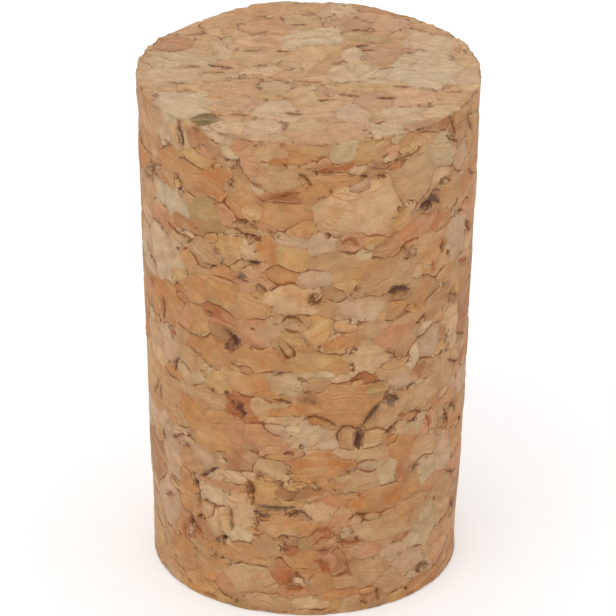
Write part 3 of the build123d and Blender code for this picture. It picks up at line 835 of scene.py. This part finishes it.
def unrolledMap(points, triangles, onEnd, body):
    # where each corner lies when the skin is laid out flat: the side unrolled over the full width of a
    # square, with the wide end and the underside below it at the same scale
    margin = 0.005
    perMm = (1 - 2 * margin) / (2 * math.pi * body["wideRadius"])
    corners = points[triangles]
    centres = corners.mean(axis=1)
    facing = np.arctan2(centres[:, 0], -centres[:, 1])[:, None]
    azimuth = np.arctan2(corners[..., 0], -corners[..., 1])
    azimuth = facing + (azimuth - facing + math.pi) % (2 * math.pi) - math.pi
    place = np.stack([
        0.5 + azimuth * body["wideRadius"] * perMm,
        1 - margin - (body["length"] - corners[..., 2]) * perMm,
    ], axis=-1)
    ends = onEnd[triangles].all(axis=1)
    top = centres[:, 2] > body["length"] / 2
    for here, middle, turn in ((ends & top, (0.25, 0.25), 1), (ends & ~top, (0.75, 0.25), -1)):
        place[here] = middle + corners[here][..., :2] * (turn * perMm, perMm)
    return place


def seamWidths(points, granules, firsts, seconds, onEnd, gape, nearMark):
    # how wide the dark seam between two granules gapes: a matter of the pair, though it comes and goes along
    # the seam, level seams gape more than upright ones, in part as painted shade under overlapping granules,
    # and those beside a dark mark gape less
    first, second, last = cork["pairHash"]
    pair = np.minimum(firsts, seconds) * first + np.maximum(firsts, seconds) * second
    pairShare = (pair % last) / last
    comesAndGoes = softNoise(points, *cork["seamNoise"])
    spots = np.array([g["centre"] for g in granules])
    between = spots[seconds] - spots[firsts]
    levelness = np.abs(between[:, 2]) / np.linalg.norm(between, axis=1)  # 1 for a seam that lies level
    level = np.where(onEnd, cork["endSeams"], cork["levelSeamGapeAndShade"] * (levelness - 0.5))
    width = (pairShare - cork["seamsClosed"]) * cork["seamSpread"] + comesAndGoes * cork["seamWander"] + level
    width = width + cork["gapeWidth"] * gape - cork["markedSeams"] * nearMark
    return np.clip(width, *cork["seamLimits"])


def skinRelief(points, body, onEnd, gap, seamWidth, markOffset, markWidth):
    # how far the skin is sunk, always inwards from the ground surface
    sunk = cork["domeDepth"] * (1 - np.clip(gap / cork["domeReach"], 0, 1)) ** 2
    opened = np.clip(seamWidth / cork["seamFullWidth"], 0, 1)
    sunk += cork["seamDepth"] * opened * np.clip(1 - gap / cork["seamSlope"], 0, 1)
    sunk += cork["grainRelief"] * (1 + softNoise(points, *cork["grainNoise"]))
    away = np.abs(markOffset) / np.maximum(markWidth, cork["markLeast"])
    full, slope = cork["markProfile"]
    inMark = np.clip(full - away * slope, 0, 1) * (markWidth > 0)
    sunk += inMark * np.clip(markWidth * cork["markDepth"], 0, cork["markDeepest"])

    # crumbs are missing along both rims
    toRim = np.minimum(points[:, 2], body["length"] - points[:, 2])
    toRim = np.where(onEnd, body["wideRadius"] - np.hypot(points[:, 0], points[:, 1]), toRim)
    missing = np.clip(softNoise(points, *cork["rimNoise"]) + cork["rimCrumbs"], 0, 1)
    sunk += cork["rimCrumble"] * np.clip(1 - toRim / cork["rimReach"], 0, 1) * missing

    # the ground side isn't quite round
    azimuth = np.degrees(np.arctan2(points[:, 0], -points[:, 1]))
    for middle, height, wide, tall, deep in groundFlats:
        aside = (azimuth - middle + 180) % 360 - 180
        sunk += deep * np.exp(-(aside / wide) ** 2 - ((points[:, 2] - height) / tall) ** 2)
    return sunk


def solidDepths(points, normals, tree):
    # how deep the solid lies under the skin: its open crevices and the worn stretch of its rim
    depth = np.zeros(len(points))
    for place, (point, normal) in enumerate(zip(points, normals)):
        start = Vector(point + normal)
        hit = tree.ray_cast(start, Vector(-normal), cork["castReach"])
        if hit[3] is not None:
            depth[place] = hit[3] - 1
    return np.where(depth > cork["solidDepthLeast"], depth, 0)


def granuleTones(points, granules, triangles, triangleLabels, onEnd, random):
    # the tone at each triangle's corner, where granules run softly into each other here and there, and with
    # it a chance value for each granule
    toneOf = np.array([toLinear(tones[g["tone"]]) for g in granules])
    toneOf *= random.uniform(1 - cork["toneSpread"], 1 + cork["toneSpread"], len(granules))[:, None]
    toneOf += (np.array(toLinear(cork["meanTone"])) - toneOf) * cork["toneEvening"]
    chance = random.uniform(0, 1, len(granules))
    pointTone = meanAtPoints(points, triangles, toneOf[triangleLabels])
    softness = np.clip(0.5 + cork["toneSoftness"] * softNoise(points, *cork["toneNoise"]), 0, 1)[:, None]
    cornerTone = toneOf[triangleLabels][:, None, :]
    cornerTone = cornerTone + (pointTone[triangles] - cornerTone) * softness[triangles]
    cornerChance = np.repeat(chance[triangleLabels][:, None, None], 3, axis=1)
    # both ends are painted paler: in part for their cut-across face, in part painted light for the stronger
    # light on the wide end
    dark = cornerTone.mean(axis=2, keepdims=True) < cork["darkTone"]
    paintedLightEndShare = cork["paintedLightEndEvening"] * (onEnd[triangles][..., None] & ~dark)
    cornerTone = cornerTone + (np.array(toLinear(cork["paintedLightEndTone"])) - cornerTone) * paintedLightEndShare
    return np.concatenate([cornerTone, cornerChance], axis=2)


def makeMesh(surface, triangles):
    mesh = bpy.data.meshes.new("corkStopper")
    mesh.vertices.add(len(surface))
    mesh.vertices.foreach_set("co", (surface * mm).astype(np.float32).ravel())
    mesh.loops.add(len(triangles) * 3)
    mesh.loops.foreach_set("vertex_index", triangles.astype(np.int32).ravel())
    mesh.polygons.add(len(triangles))
    mesh.polygons.foreach_set("loop_start", np.arange(0, len(triangles) * 3, 3, dtype=np.int32))
    mesh.polygons.foreach_set("use_smooth", np.ones(len(triangles), bool))
    mesh.update(calc_edges=True)
    mesh.validate()
    return mesh


def storeOnMesh(mesh, name, kind, domain, values):  # keeps values on the mesh, which the material reads
    field = {"FLOAT": "value", "FLOAT_VECTOR": "vector", "FLOAT_COLOR": "color"}[kind]
    stored = mesh.attributes.new(name, kind, domain).data
    stored.foreach_set(field, values.astype(np.float32).ravel())


def buildCork():
    body = readBody()
    granules = seatGranules(body)
    print(f"stage: {len(granules)} granules seated")
    points, quads = skinGrid(body)
    labels, _, gap = nearestGranules(points, granules)
    points, onSeam = seamPoints(points, quads, labels, gap)
    triangles = splitQuads(points, quads, labels, onSeam)
    triangleLabels = nearestGranules(points[triangles].mean(axis=1), granules)[0]
    for k in range(3):
        corner = triangles[:, k]
        triangleLabels = np.where(onSeam[corner], triangleLabels, labels[corner])
    firsts, seconds, gap = nearestGranules(points, granules)
    gap = np.where(onSeam, 0.0, np.clip(gap, 0.0, cork["gapLimit"]))
    normals = pointNormals(points, triangles)
    print(f"stage: {len(points)} points, {len(triangles)} triangles")

    onEnd = (points[:, 2] > body["length"] - cork["endDepth"]) | (points[:, 2] < cork["endDepth"])
    markOffset, markWidth, markColour, gape = markOffsets(points, body)
    nearMark = (markWidth > 0) & (np.abs(markOffset) < markWidth + cork["markBeside"])
    seamWidth = seamWidths(points, granules, firsts, seconds, onEnd, gape, nearMark)
    random = np.random.default_rng(cork["seed"])
    level = random.uniform(0, cork["levelRange"], len(granules))
    sunk = meanAtPoints(points, triangles, level[triangleLabels])
    sunk += skinRelief(points, body, onEnd, gap, seamWidth, markOffset, markWidth)
    depth = solidDepths(points, normals, body["tree"])
    mesh = makeMesh(points - normals * (sunk + depth)[:, None], triangles)
    print("stage: relief")

    # what the material reads: each granule's tone and grain, how near the seams and marks are, and whether a
    # granule dips under the one beside it (1) or lies over it (-1)
    tone = granuleTones(points, granules, triangles, triangleLabels, onEnd, random)
    swing = random.normal(0, cork["grainSwing"], len(granules))
    grainOf = np.array([
        g["across"] * math.cos(turn) + g["along"] * math.sin(turn) for g, turn in zip(granules, swing)])
    grain = np.repeat(grainOf[triangleLabels], 3, axis=0)
    beside = np.where(firsts[triangles] == triangleLabels[:, None], seconds[triangles], firsts[triangles])
    under = np.clip((level[triangleLabels][:, None] - level[beside]) / (cork["levelRange"] / 2), -1, 1)
    storeOnMesh(mesh, "tone", "FLOAT_COLOR", "CORNER", tone)
    storeOnMesh(mesh, "markColour", "FLOAT_COLOR", "POINT", markColour)
    storeOnMesh(mesh, "grain", "FLOAT_VECTOR", "CORNER", grain)
    storeOnMesh(mesh, "under", "FLOAT", "CORNER", under)
    floats = {"seamGap": gap, "seamWidth": seamWidth, "crevice": depth, "markOffset": markOffset,
              "markWidth": markWidth, "onEnd": onEnd}
    for name, values in floats.items():
        storeOnMesh(mesh, name, "FLOAT", "POINT", values)
    laidOut = unrolledMap(points, triangles, onEnd, body)
    mesh.uv_layers.new(name="OFBake").data.foreach_set("uv", laidOut.astype(np.float32).ravel())

    piece = bpy.data.objects.new("corkStopper", mesh)
    bpy.context.scene.collection.objects.link(piece)
    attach(piece, "root")
    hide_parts("stopper")
    return piece


corkStopper = buildCork()
print("stage: cork mesh")


def addNode(tree, kind, settings, inputs):
    # adds one node, where each input is a fixed value or the output that feeds it, and gives its outputs
    node = tree.nodes.new("ShaderNode" + kind)
    for name, value in settings.items():
        setattr(node, name, value)
    for place, value in inputs.items():
        if isinstance(value, bpy.types.NodeSocket):
            tree.links.new(value, node.inputs[place])
        else:
            node.inputs[place].default_value = value
    return node.outputs


def paint(hexCode):  # a hex colour as the colour sockets take it
    return (*toLinear(hexCode), 1)


# Agglomerated cork, ground and not coated: quite matt, warm and soft to the eye, with each granule in its
# own tone, faint growth lines in the granules and thin brown seams of binder between them. Sizes are
# millimetres on the real thing. A range in curly brackets is what a Map Range node takes: 1 and 2 are where
# the pattern starts and where it is full, and 3 and 4 what comes out there, 0 and 1 where they aren't given
corkFinish = {
    "roughness": 0.8,
    "ior": 1.45,
    "specular": 0.2,  # open cells break up most of the shine
    "sheen": 0.1,  # torn cell walls catch the light along the edges
    "bendSize": 1.25,  # lumps that bend the flakes and the growth lines
    "bendReach": (1.1, 1.1, 0.8),
    "growthApart": 40,  # sets each granule's growth lines apart from the others'
    # tints that come and go: what they run along, their lump size, detail, where they start and are full,
    # how much they cover, and their colour
    "tints": (
        ("place", 3.0, 2, 0.52, 0.72, 0.4, "C98345"),
        ("place", 3.0, 2, 0.46, 0.28, 0.3, "D6AF82"),
        ("place", 1.6, 1, 0.6, 0.78, 0.3, "CB7A40"),
        ("place", 1.9, 1, 0.42, 0.26, 0.3, "D2A872"),
        ("place", 2.4, 1, 0.6, 0.74, 0.4, "BE9C72"),
        ("growth", 0.62, 4, 0.5, 0.75, 0.35, "AB6B3B"),
        ("growth", 0.62, 4, 0.48, 0.25, 0.4, "DFBB8B"),
    ),
    "tintsOnEnds": 0.25,  # how much of the tints that run over the granules is left on the ends
    "flakeSize": (2.0, 2.0, 1.2),
    # which flakes are tinted or outlined, and how much
    "flakeDark": ("AD7345", {1: 0.55, 2: 1, 4: 0.14}),
    "flakePale": ("DCBB8C", {1: 0.6, 2: 1, 4: 0.2}),
    "flakeLine": ("8E5930", {1: 0.5, 2: 0.85, 4: 0.2}),
    "flakeLineWidth": {1: 0.05, 2: 0.015},
    "hairSize": 0.2,  # real growth rings are finer, but wouldn't show
    "hairColour": "935A32",
    "hairs": {1: 0.6, 2: 0.68},
    "hairPatchSize": 1.0,
    "hairPatches": {1: 0.46, 2: 0.58, 4: 0.45},
    # how wide the lumps are, how dark and light they get, and how much stronger they are on the ends
    "mottle": (1.0, (0.85, 1.14), 1.1),
    "fineGrain": (0.13, (0.92, 1.08), 1.6),
    "lumps": {1: 0.25, 2: 0.75},  # between these they go from dark to light
    "raggedSize": 0.38,
    "seamRagged": 0.15,  # how far the width of a seam comes and goes
    "leastWidth": 0.002,  # keeps the sums within bounds where nothing gapes
    "seamGaping": {1: 0, 2: 0.075},  # from a closed seam to a gaping one
    # a seam's painted highlight, a pale lip, and its core go by how many times its width off they are, its
    # painted shade by millimetres
    "paintedHighlight": "E2C294",
    "paintedHighlightFrom": {1: 1.2, 2: 2},
    "paintedHighlightTo": {1: 4.5, 2: 2.5, 4: 0.3},
    "paintedHighlightOver": {1: 0.6, 2: -0.6},  # a painted highlight, only on the granule that lies over the other one
    # painted shade beside a seam, for the shadow that a granule lying over casts on the one that dips under
    "halo": "9E6638",
    "paintedShadeUnder": {1: -0.6, 2: 0.6, 3: 0.1, 4: 0.62},  # painted shade, mostly on the granule that dips under
    "paintedShadeReach": {1: 0.65, 2: 0},
    "paintedShadeFade": 2,
    "paintedShadeCover": (0.4, 1.0),  # along a closed seam and along a gaping one
    "seamPale": "8F5A2E",
    "seamDark": "6B4020",
    "seamRust": "92461F",
    "rustyStretches": {1: 0.46, 2: 0.58, 4: 0.85},
    "seamCore": {1: 1.3, 2: 0.3},
    "seamCover": (0.28, 0.78),  # of a closed seam and of a gaping one
    "clusterSize": 1.7,
    "clusters": {1: 0.57, 2: 0.65},
    "clusterNearSeam": {1: 0.45, 2: 0.15},
    "clustersOnEnds": (0.03, 0.8),  # how much more of the ends they reach, and how strong they are there
    "crumbSize": (0.75, 0.75, 0.5),
    "crumbPale": "DDBB90",
    "crumbDark": "8E5A38",
    "crumbTints": {1: 0.4, 2: 0.9, 4: 0.6},
    "crumbLine": "68391C",
    "crumbLineWidth": {1: 0.16, 2: 0.02, 4: 0.85},
    "crumbLinePatches": {1: 0.38, 2: 0.56},
    "markWanderSize": 0.45,
    "markWander": 0.2,
    "markRagged": {1: 0.3, 2: 0.65, 3: 0.6, 4: 1.55},  # how much a mark's width comes and goes
    "markHalo": "97602F",
    "markHaloReach": {1: 3.2, 2: 0.8},
    "markHaloCover": {1: 0, 2: 0.06, 4: 0.4},  # by the mark's width
    "markCore": {1: 1.35, 2: 0.25},
    "markPatches": {1: 0.36, 2: 0.56, 3: 0.55, 4: 1},
    "creviceColour": "633C24",
    "creviceDepth": {1: 0.06, 2: 0.3, 4: 0.75},
    "gritSize": 0.2,
    "gritRelief": 0.03,
    "gritStrength": 0.6,
    "seamSunk": 1.2,  # how deep seams and marks lie, in the same measure as the grit
    "markSunk": 2,
}

# What the nodes of the cork share. Mix takes the share as 0 and the two colours as 6 and 7
smoothly = {"interpolation_type": "SMOOTHSTEP"}
ofColours = {"data_type": "RGBA"}
times = {"operation": "MULTIPLY"}
timesPlus = {"operation": "MULTIPLY_ADD"}


def skinValues(tree, finish):
    # what the layers start from: the values on the mesh, the place in millimetres and the growth lines
    skin = {}
    for name in ("seamGap", "seamWidth", "crevice", "markOffset", "markWidth", "onEnd", "under"):
        skin[name] = addNode(tree, "Attribute", {"attribute_name": name}, {})["Fac"]
    for name in ("tone", "grain", "markColour"):
        skin[name] = addNode(tree, "Attribute", {"attribute_name": name}, {})
    place = addNode(tree, "TexCoord", {}, {})["Object"]
    place = addNode(tree, "VectorMath", {"operation": "SCALE"}, {0: place, "Scale": 1 / mm})[0]

    # growth lines run square to the grain of each granule, and both they and its flakes are bent a little
    bend = addNode(tree, "TexNoise", {}, {0: place, "Scale": 1 / finish["bendSize"], "Detail": 3})[1]
    bent = addNode(tree, "VectorMath", timesPlus, {0: bend, 1: finish["bendReach"], 2: place})[0]
    across = addNode(tree, "VectorMath", {"operation": "DOT_PRODUCT"}, {0: bent, 1: skin["grain"][1]})[1]
    apart = addNode(tree, "Math", times, {0: skin["tone"]["Alpha"], 1: finish["growthApart"]})[0]
    growth = addNode(tree, "CombineXYZ", {}, {0: across, 1: apart})[0]
    ragged = addNode(tree, "TexNoise", {}, {
        0: place, "Scale": 1 / finish["raggedSize"], "Detail": 3, "Roughness": 0.6})[0]
    skin.update(place=place, bend=bend, bent=bent, growth=growth, ragged=ragged)
    return skin


def tintLayer(tree, finish, skin):
    # tints over each granule's own tone
    onSide = addNode(tree, "Math", timesPlus, {0: skin["onEnd"], 1: finish["tintsOnEnds"] - 1, 2: 1})[0]
    colour = skin["tone"]["Color"]
    for course, size, detail, start, full, cover, tint in finish["tints"]:
        lumps = addNode(tree, "TexNoise", {}, {0: skin[course], "Scale": 1 / size, "Detail": detail})[0]
        share = addNode(tree, "MapRange", smoothly, {0: lumps, 1: start, 2: full, 4: cover})[0]
        if course == "place":
            share = addNode(tree, "Math", times, {0: share, 1: onSide})[0]
        colour = addNode(tree, "Mix", ofColours, {0: share, 6: colour, 7: paint(tint)})[2]
    return colour


def flakeLayer(tree, finish, skin, colour):
    # flakes that a granule has split into, some darker, some paler, with a faint line between them
    scale = tuple(1 / size for size in finish["flakeSize"])
    pressed = addNode(tree, "VectorMath", times, {0: skin["bent"], 1: scale})[0]
    flakes = addNode(tree, "TexVoronoi", {}, {0: pressed, "Scale": 1})["Color"]
    flake = addNode(tree, "SeparateColor", {}, {0: flakes})
    edge = addNode(tree, "TexVoronoi", {"feature": "DISTANCE_TO_EDGE"}, {0: pressed, "Scale": 1})[0]
    edge = addNode(tree, "MapRange", smoothly, {0: edge, **finish["flakeLineWidth"]})[0]
    for chance, name in enumerate(("flakeDark", "flakePale", "flakeLine")):
        hexCode, extent = finish[name]
        share = addNode(tree, "MapRange", smoothly, {0: flake[chance], **extent})[0]
        if name == "flakeLine":
            share = addNode(tree, "Math", times, {0: edge, 1: share})[0]
        colour = addNode(tree, "Mix", ofColours, {0: share, 6: colour, 7: paint(hexCode)})[2]
    return colour


def hairLayer(tree, finish, skin, colour):
    # growth lines as fine as hairs, in patches
    hairs = addNode(tree, "TexNoise", {}, {
        0: skin["growth"], "Scale": 1 / finish["hairSize"], "Detail": 1})[0]
    hairs = addNode(tree, "MapRange", smoothly, {0: hairs, **finish["hairs"]})[0]
    patches = addNode(tree, "TexNoise", {}, {0: skin["place"], "Scale": 1 / finish["hairPatchSize"]})[0]
    patches = addNode(tree, "MapRange", smoothly, {0: patches, **finish["hairPatches"]})[0]
    share = addNode(tree, "Math", times, {0: hairs, 1: patches})[0]
    return addNode(tree, "Mix", ofColours, {0: share, 6: colour, 7: paint(finish["hairColour"])})[2]


def mottleLayer(tree, finish, skin, colour):
    # soft mottling, and fine grain that is stronger on the ends
    for size, (dark, light), onEnds in (finish["mottle"], finish["fineGrain"]):
        stronger = addNode(tree, "Math", timesPlus, {0: skin["onEnd"], 1: onEnds - 1, 2: 1})[0]
        lumps = addNode(tree, "TexNoise", {}, {
            0: skin["place"], "Scale": 1 / size, "Detail": 5, "Roughness": 0.65})[0]
        shade = addNode(tree, "MapRange", smoothly, {
            0: lumps, **finish["lumps"], 3: dark - 1, 4: light - 1})[0]
        shade = addNode(tree, "Math", timesPlus, {0: shade, 1: stronger, 2: 1})[0]
        colour = addNode(tree, "VectorMath", {"operation": "SCALE"}, {0: colour, "Scale": shade})[0]
    return colour


def seamLayer(tree, finish, skin, colour):
    # the seam: dark where the gap to it is under its width, in a painted soft shade that lies mostly on the
    # granule that dips under, with a painted highlight, a pale lip, on the one that lies over
    reach = finish["seamRagged"]
    outer = addNode(tree, "Math", timesPlus, {0: skin["ragged"], 1: reach, 2: -reach / 2})[0]
    outer = addNode(tree, "Math", {"operation": "ADD"}, {0: skin["seamWidth"], 1: outer})[0]
    outer = addNode(tree, "Math", {"operation": "MAXIMUM"}, {0: outer, 1: finish["leastWidth"]})[0]
    inSeam = addNode(tree, "Math", {"operation": "DIVIDE"}, {0: skin["seamGap"], 1: outer})[0]
    gaping = addNode(tree, "MapRange", smoothly, {0: outer, **finish["seamGaping"]})[0]

    # painted highlight: a pale lip beside the seam, on the granule that lies over the other one
    rise = addNode(tree, "MapRange", smoothly, {0: inSeam, **finish["paintedHighlightFrom"]})[0]
    fall = addNode(tree, "MapRange", smoothly, {0: inSeam, **finish["paintedHighlightTo"]})[0]
    over = addNode(tree, "MapRange", smoothly, {0: skin["under"], **finish["paintedHighlightOver"]})[0]
    share = addNode(tree, "Math", times, {0: rise, 1: fall})[0]
    share = addNode(tree, "Math", times, {0: share, 1: over})[0]
    colour = addNode(tree, "Mix", ofColours, {0: share, 6: colour, 7: paint(finish["paintedHighlight"])})[2]

    # painted shade beside the seam, mostly on the granule that dips under
    dip = addNode(tree, "MapRange", smoothly, {0: skin["under"], **finish["paintedShadeUnder"]})[0]
    share = addNode(tree, "MapRange", {}, {0: skin["seamGap"], **finish["paintedShadeReach"]})[0]
    share = addNode(tree, "Math", {"operation": "POWER"}, {0: share, 1: finish["paintedShadeFade"]})[0]
    share = addNode(tree, "Math", times, {0: share, 1: dip})[0]
    shut, agape = finish["paintedShadeCover"]
    cover = addNode(tree, "Math", timesPlus, {0: gaping, 1: agape - shut, 2: shut})[0]
    share = addNode(tree, "Math", times, {0: share, 1: cover})[0]
    colour = addNode(tree, "Mix", ofColours, {0: share, 6: colour, 7: paint(finish["halo"])})[2]

    pale, dark = paint(finish["seamPale"]), paint(finish["seamDark"])
    tint = addNode(tree, "Mix", ofColours, {0: gaping, 6: pale, 7: dark})[2]
    rusty = addNode(tree, "SeparateColor", {}, {0: skin["bend"]})[2]
    rusty = addNode(tree, "MapRange", smoothly, {0: rusty, **finish["rustyStretches"]})[0]
    tint = addNode(tree, "Mix", ofColours, {0: rusty, 6: tint, 7: paint(finish["seamRust"])})[2]
    seam = addNode(tree, "MapRange", smoothly, {0: inSeam, **finish["seamCore"]})[0]
    shut, agape = finish["seamCover"]
    cover = addNode(tree, "Math", timesPlus, {0: gaping, 1: agape - shut, 2: shut})[0]
    seam = addNode(tree, "Math", times, {0: seam, 1: cover})[0]
    return addNode(tree, "Mix", ofColours, {0: seam, 6: colour, 7: tint})[2], seam


def crumbLayer(tree, finish, skin, colour):
    # clusters of crumbs, each crumb outlined, where the granules meet
    further, onEnds = finish["clustersOnEnds"]
    cluster = addNode(tree, "TexNoise", {}, {0: skin["place"], "Scale": 1 / finish["clusterSize"]})[0]
    cluster = addNode(tree, "Math", timesPlus, {0: skin["onEnd"], 1: further, 2: cluster})[0]
    cluster = addNode(tree, "MapRange", smoothly, {0: cluster, **finish["clusters"]})[0]
    near = addNode(tree, "MapRange", smoothly, {0: skin["seamGap"], **finish["clusterNearSeam"]})[0]
    cluster = addNode(tree, "Math", times, {0: cluster, 1: near})[0]
    fainter = addNode(tree, "Math", timesPlus, {0: skin["onEnd"], 1: onEnds - 1, 2: 1})[0]
    cluster = addNode(tree, "Math", times, {0: cluster, 1: fainter})[0]
    scale = tuple(1 / size for size in finish["crumbSize"])
    crumbs = addNode(tree, "VectorMath", times, {0: skin["bent"], 1: scale})[0]
    crumb = addNode(tree, "TexVoronoi", {}, {0: crumbs, "Scale": 1})["Color"]
    crumb = addNode(tree, "SeparateColor", {}, {0: crumb})
    for chance, name in enumerate(("crumbPale", "crumbDark")):
        share = addNode(tree, "MapRange", smoothly, {0: crumb[chance], **finish["crumbTints"]})[0]
        share = addNode(tree, "Math", times, {0: share, 1: cluster})[0]
        colour = addNode(tree, "Mix", ofColours, {0: share, 6: colour, 7: paint(finish[name])})[2]
    edge = addNode(tree, "TexVoronoi", {"feature": "DISTANCE_TO_EDGE"}, {0: crumbs, "Scale": 1})[0]
    edge = addNode(tree, "MapRange", smoothly, {0: edge, **finish["crumbLineWidth"]})[0]
    share = addNode(tree, "MapRange", smoothly, {0: skin["ragged"], **finish["crumbLinePatches"]})[0]
    share = addNode(tree, "Math", times, {0: edge, 1: share})[0]
    share = addNode(tree, "Math", times, {0: share, 1: cluster})[0]
    return addNode(tree, "Mix", ofColours, {0: share, 6: colour, 7: paint(finish["crumbLine"])})[2]


def markLayer(tree, finish, skin, colour):
    # the marks, each in its own colour with a soft shade round it
    wander = addNode(tree, "TexNoise", {}, {0: skin["place"], "Scale": 1 / finish["markWanderSize"]})[1]
    wander = addNode(tree, "SeparateColor", {}, {0: wander})
    reach = finish["markWander"]
    offset = addNode(tree, "Math", timesPlus, {0: wander[0], 1: reach, 2: -reach / 2})[0]
    offset = addNode(tree, "Math", {"operation": "ADD"}, {0: skin["markOffset"], 1: offset})[0]
    offset = addNode(tree, "Math", {"operation": "ABSOLUTE"}, {0: offset})[0]
    outer = addNode(tree, "MapRange", smoothly, {0: skin["ragged"], **finish["markRagged"]})[0]
    outer = addNode(tree, "Math", times, {0: skin["markWidth"], 1: outer})[0]
    outer = addNode(tree, "Math", {"operation": "MAXIMUM"}, {0: outer, 1: finish["leastWidth"]})[0]
    inMark = addNode(tree, "Math", {"operation": "DIVIDE"}, {0: offset, 1: outer})[0]

    halo = addNode(tree, "MapRange", smoothly, {0: inMark, **finish["markHaloReach"]})[0]
    share = addNode(tree, "MapRange", smoothly, {0: skin["markWidth"], **finish["markHaloCover"]})[0]
    share = addNode(tree, "Math", times, {0: halo, 1: share})[0]
    colour = addNode(tree, "Mix", ofColours, {0: share, 6: colour, 7: paint(finish["markHalo"])})[2]

    mark = addNode(tree, "MapRange", smoothly, {0: inMark, **finish["markCore"]})[0]
    mark = addNode(tree, "Math", times, {0: mark, 1: skin["markColour"]["Alpha"]})[0]
    share = addNode(tree, "MapRange", smoothly, {0: wander[1], **finish["markPatches"]})[0]
    mark = addNode(tree, "Math", times, {0: mark, 1: share})[0]
    markColour = skin["markColour"]["Color"]
    return addNode(tree, "Mix", ofColours, {0: mark, 6: colour, 7: markColour})[2], mark


def corkMaterial(finish):
    material = bpy.data.materials.new("groundAgglomeratedCork")
    material.use_nodes = True
    tree = material.node_tree
    tree.nodes.clear()
    skin = skinValues(tree, finish)
    colour = tintLayer(tree, finish, skin)
    colour = flakeLayer(tree, finish, skin, colour)
    colour = hairLayer(tree, finish, skin, colour)
    colour = mottleLayer(tree, finish, skin, colour)
    colour, seam = seamLayer(tree, finish, skin, colour)
    colour = crumbLayer(tree, finish, skin, colour)
    colour, mark = markLayer(tree, finish, skin, colour)

    # the deeper a crevice goes, the darker it is, towards a dark brown
    share = addNode(tree, "MapRange", smoothly, {0: skin["crevice"], **finish["creviceDepth"]})[0]
    colour = addNode(tree, "Mix", ofColours, {0: share, 6: colour, 7: paint(finish["creviceColour"])})[2]

    # fine relief: open grit, with seams and marks sunk
    grit = addNode(tree, "TexNoise", {}, {
        0: skin["place"], "Scale": 1 / finish["gritSize"], "Detail": 4, "Roughness": 0.65})[0]
    height = addNode(tree, "Math", timesPlus, {0: seam, 1: -finish["seamSunk"], 2: grit})[0]
    height = addNode(tree, "Math", timesPlus, {0: mark, 1: -finish["markSunk"], 2: height})[0]
    bump = addNode(tree, "Bump", {}, {
        "Strength": finish["gritStrength"], "Distance": finish["gritRelief"] * mm, "Height": height})[0]
    shader = addNode(tree, "BsdfPrincipled", {}, {
        "Base Color": colour, "Normal": bump, "Roughness": finish["roughness"], "IOR": finish["ior"],
        "Specular IOR Level": finish["specular"], "Sheen Weight": finish["sheen"]})[0]
    addNode(tree, "OutputMaterial", {}, {0: shader})
    return material


corkStopper.data.materials.append(corkMaterial(corkFinish))
print("stage: cork material")


# Studio: a pale matt floor under soft, even light, in metres and watts

studio = {
    "floorRadius": 4.0,
    "floorColour": "F7F7F7",
    "floorRoughness": 0.9,
    "floorLift": 0.26,  # what the camera sees added to the paper, so that it reads as white
    "skyStrength": 0.8,
    "keyPower": 4.2,
    "keySize": 1.2,
    "keyPlace": (-0.5, -1.0, 1.6),
}


def makeStudio():
    mesh = bpy.data.meshes.new("studioFloor")
    r = studio["floorRadius"]
    mesh.from_pydata([(-r, -r, 0), (r, -r, 0), (r, r, 0), (-r, r, 0)], [], [(0, 1, 2, 3)])
    floor = bpy.data.objects.new("studioFloor", mesh)
    bpy.context.scene.collection.objects.link(floor)
    paper = bpy.data.materials.new("mattWhitePaper")
    paper.use_nodes = True
    tree = paper.node_tree
    shader = tree.nodes["Principled BSDF"]
    shader.inputs["Base Color"].default_value = paint(studio["floorColour"])
    shader.inputs["Roughness"].default_value = studio["floorRoughness"]
    path = addNode(tree, "LightPath", {}, {})
    lift = addNode(tree, "Math", times, {0: path["Is Camera Ray"], 1: studio["floorLift"]})[0]
    shader.inputs["Emission Color"].default_value = (1, 1, 1, 1)
    tree.links.new(lift, shader.inputs["Emission Strength"])
    mesh.materials.append(paper)

    world = bpy.data.worlds.new("studioSky")
    bpy.context.scene.world = world
    world.use_nodes = True
    tree = world.node_tree
    tree.nodes.clear()
    light = addNode(tree, "Background", {}, {0: (1, 1, 1, 1), 1: studio["skyStrength"]})[0]
    white = addNode(tree, "Background", {}, {0: (1, 1, 1, 1), 1: 1})[0]
    path = addNode(tree, "LightPath", {}, {})
    seen = path["Is Camera Ray"]
    for ray in ("Is Glossy Ray", "Is Transmission Ray"):
        seen = addNode(tree, "Math", {"operation": "MAXIMUM"}, {0: seen, 1: path[ray]})[0]
    mixed = addNode(tree, "MixShader", {}, {0: seen, 1: light, 2: white})[0]
    addNode(tree, "OutputWorld", {}, {0: mixed})

    lamp = bpy.data.lights.new("keyLamp", "AREA")
    lamp.size = studio["keySize"]
    lamp.energy = studio["keyPower"]
    key = bpy.data.objects.new("keyLamp", lamp)
    bpy.context.scene.collection.objects.link(key)
    key.location = studio["keyPlace"]
    key.rotation_mode = "QUATERNION"
    key.rotation_quaternion = (-Vector(studio["keyPlace"])).to_track_quat("-Z", "Y")


makeStudio()
print("stage: studio")

bpy.context.scene.view_settings.view_transform = "Standard"
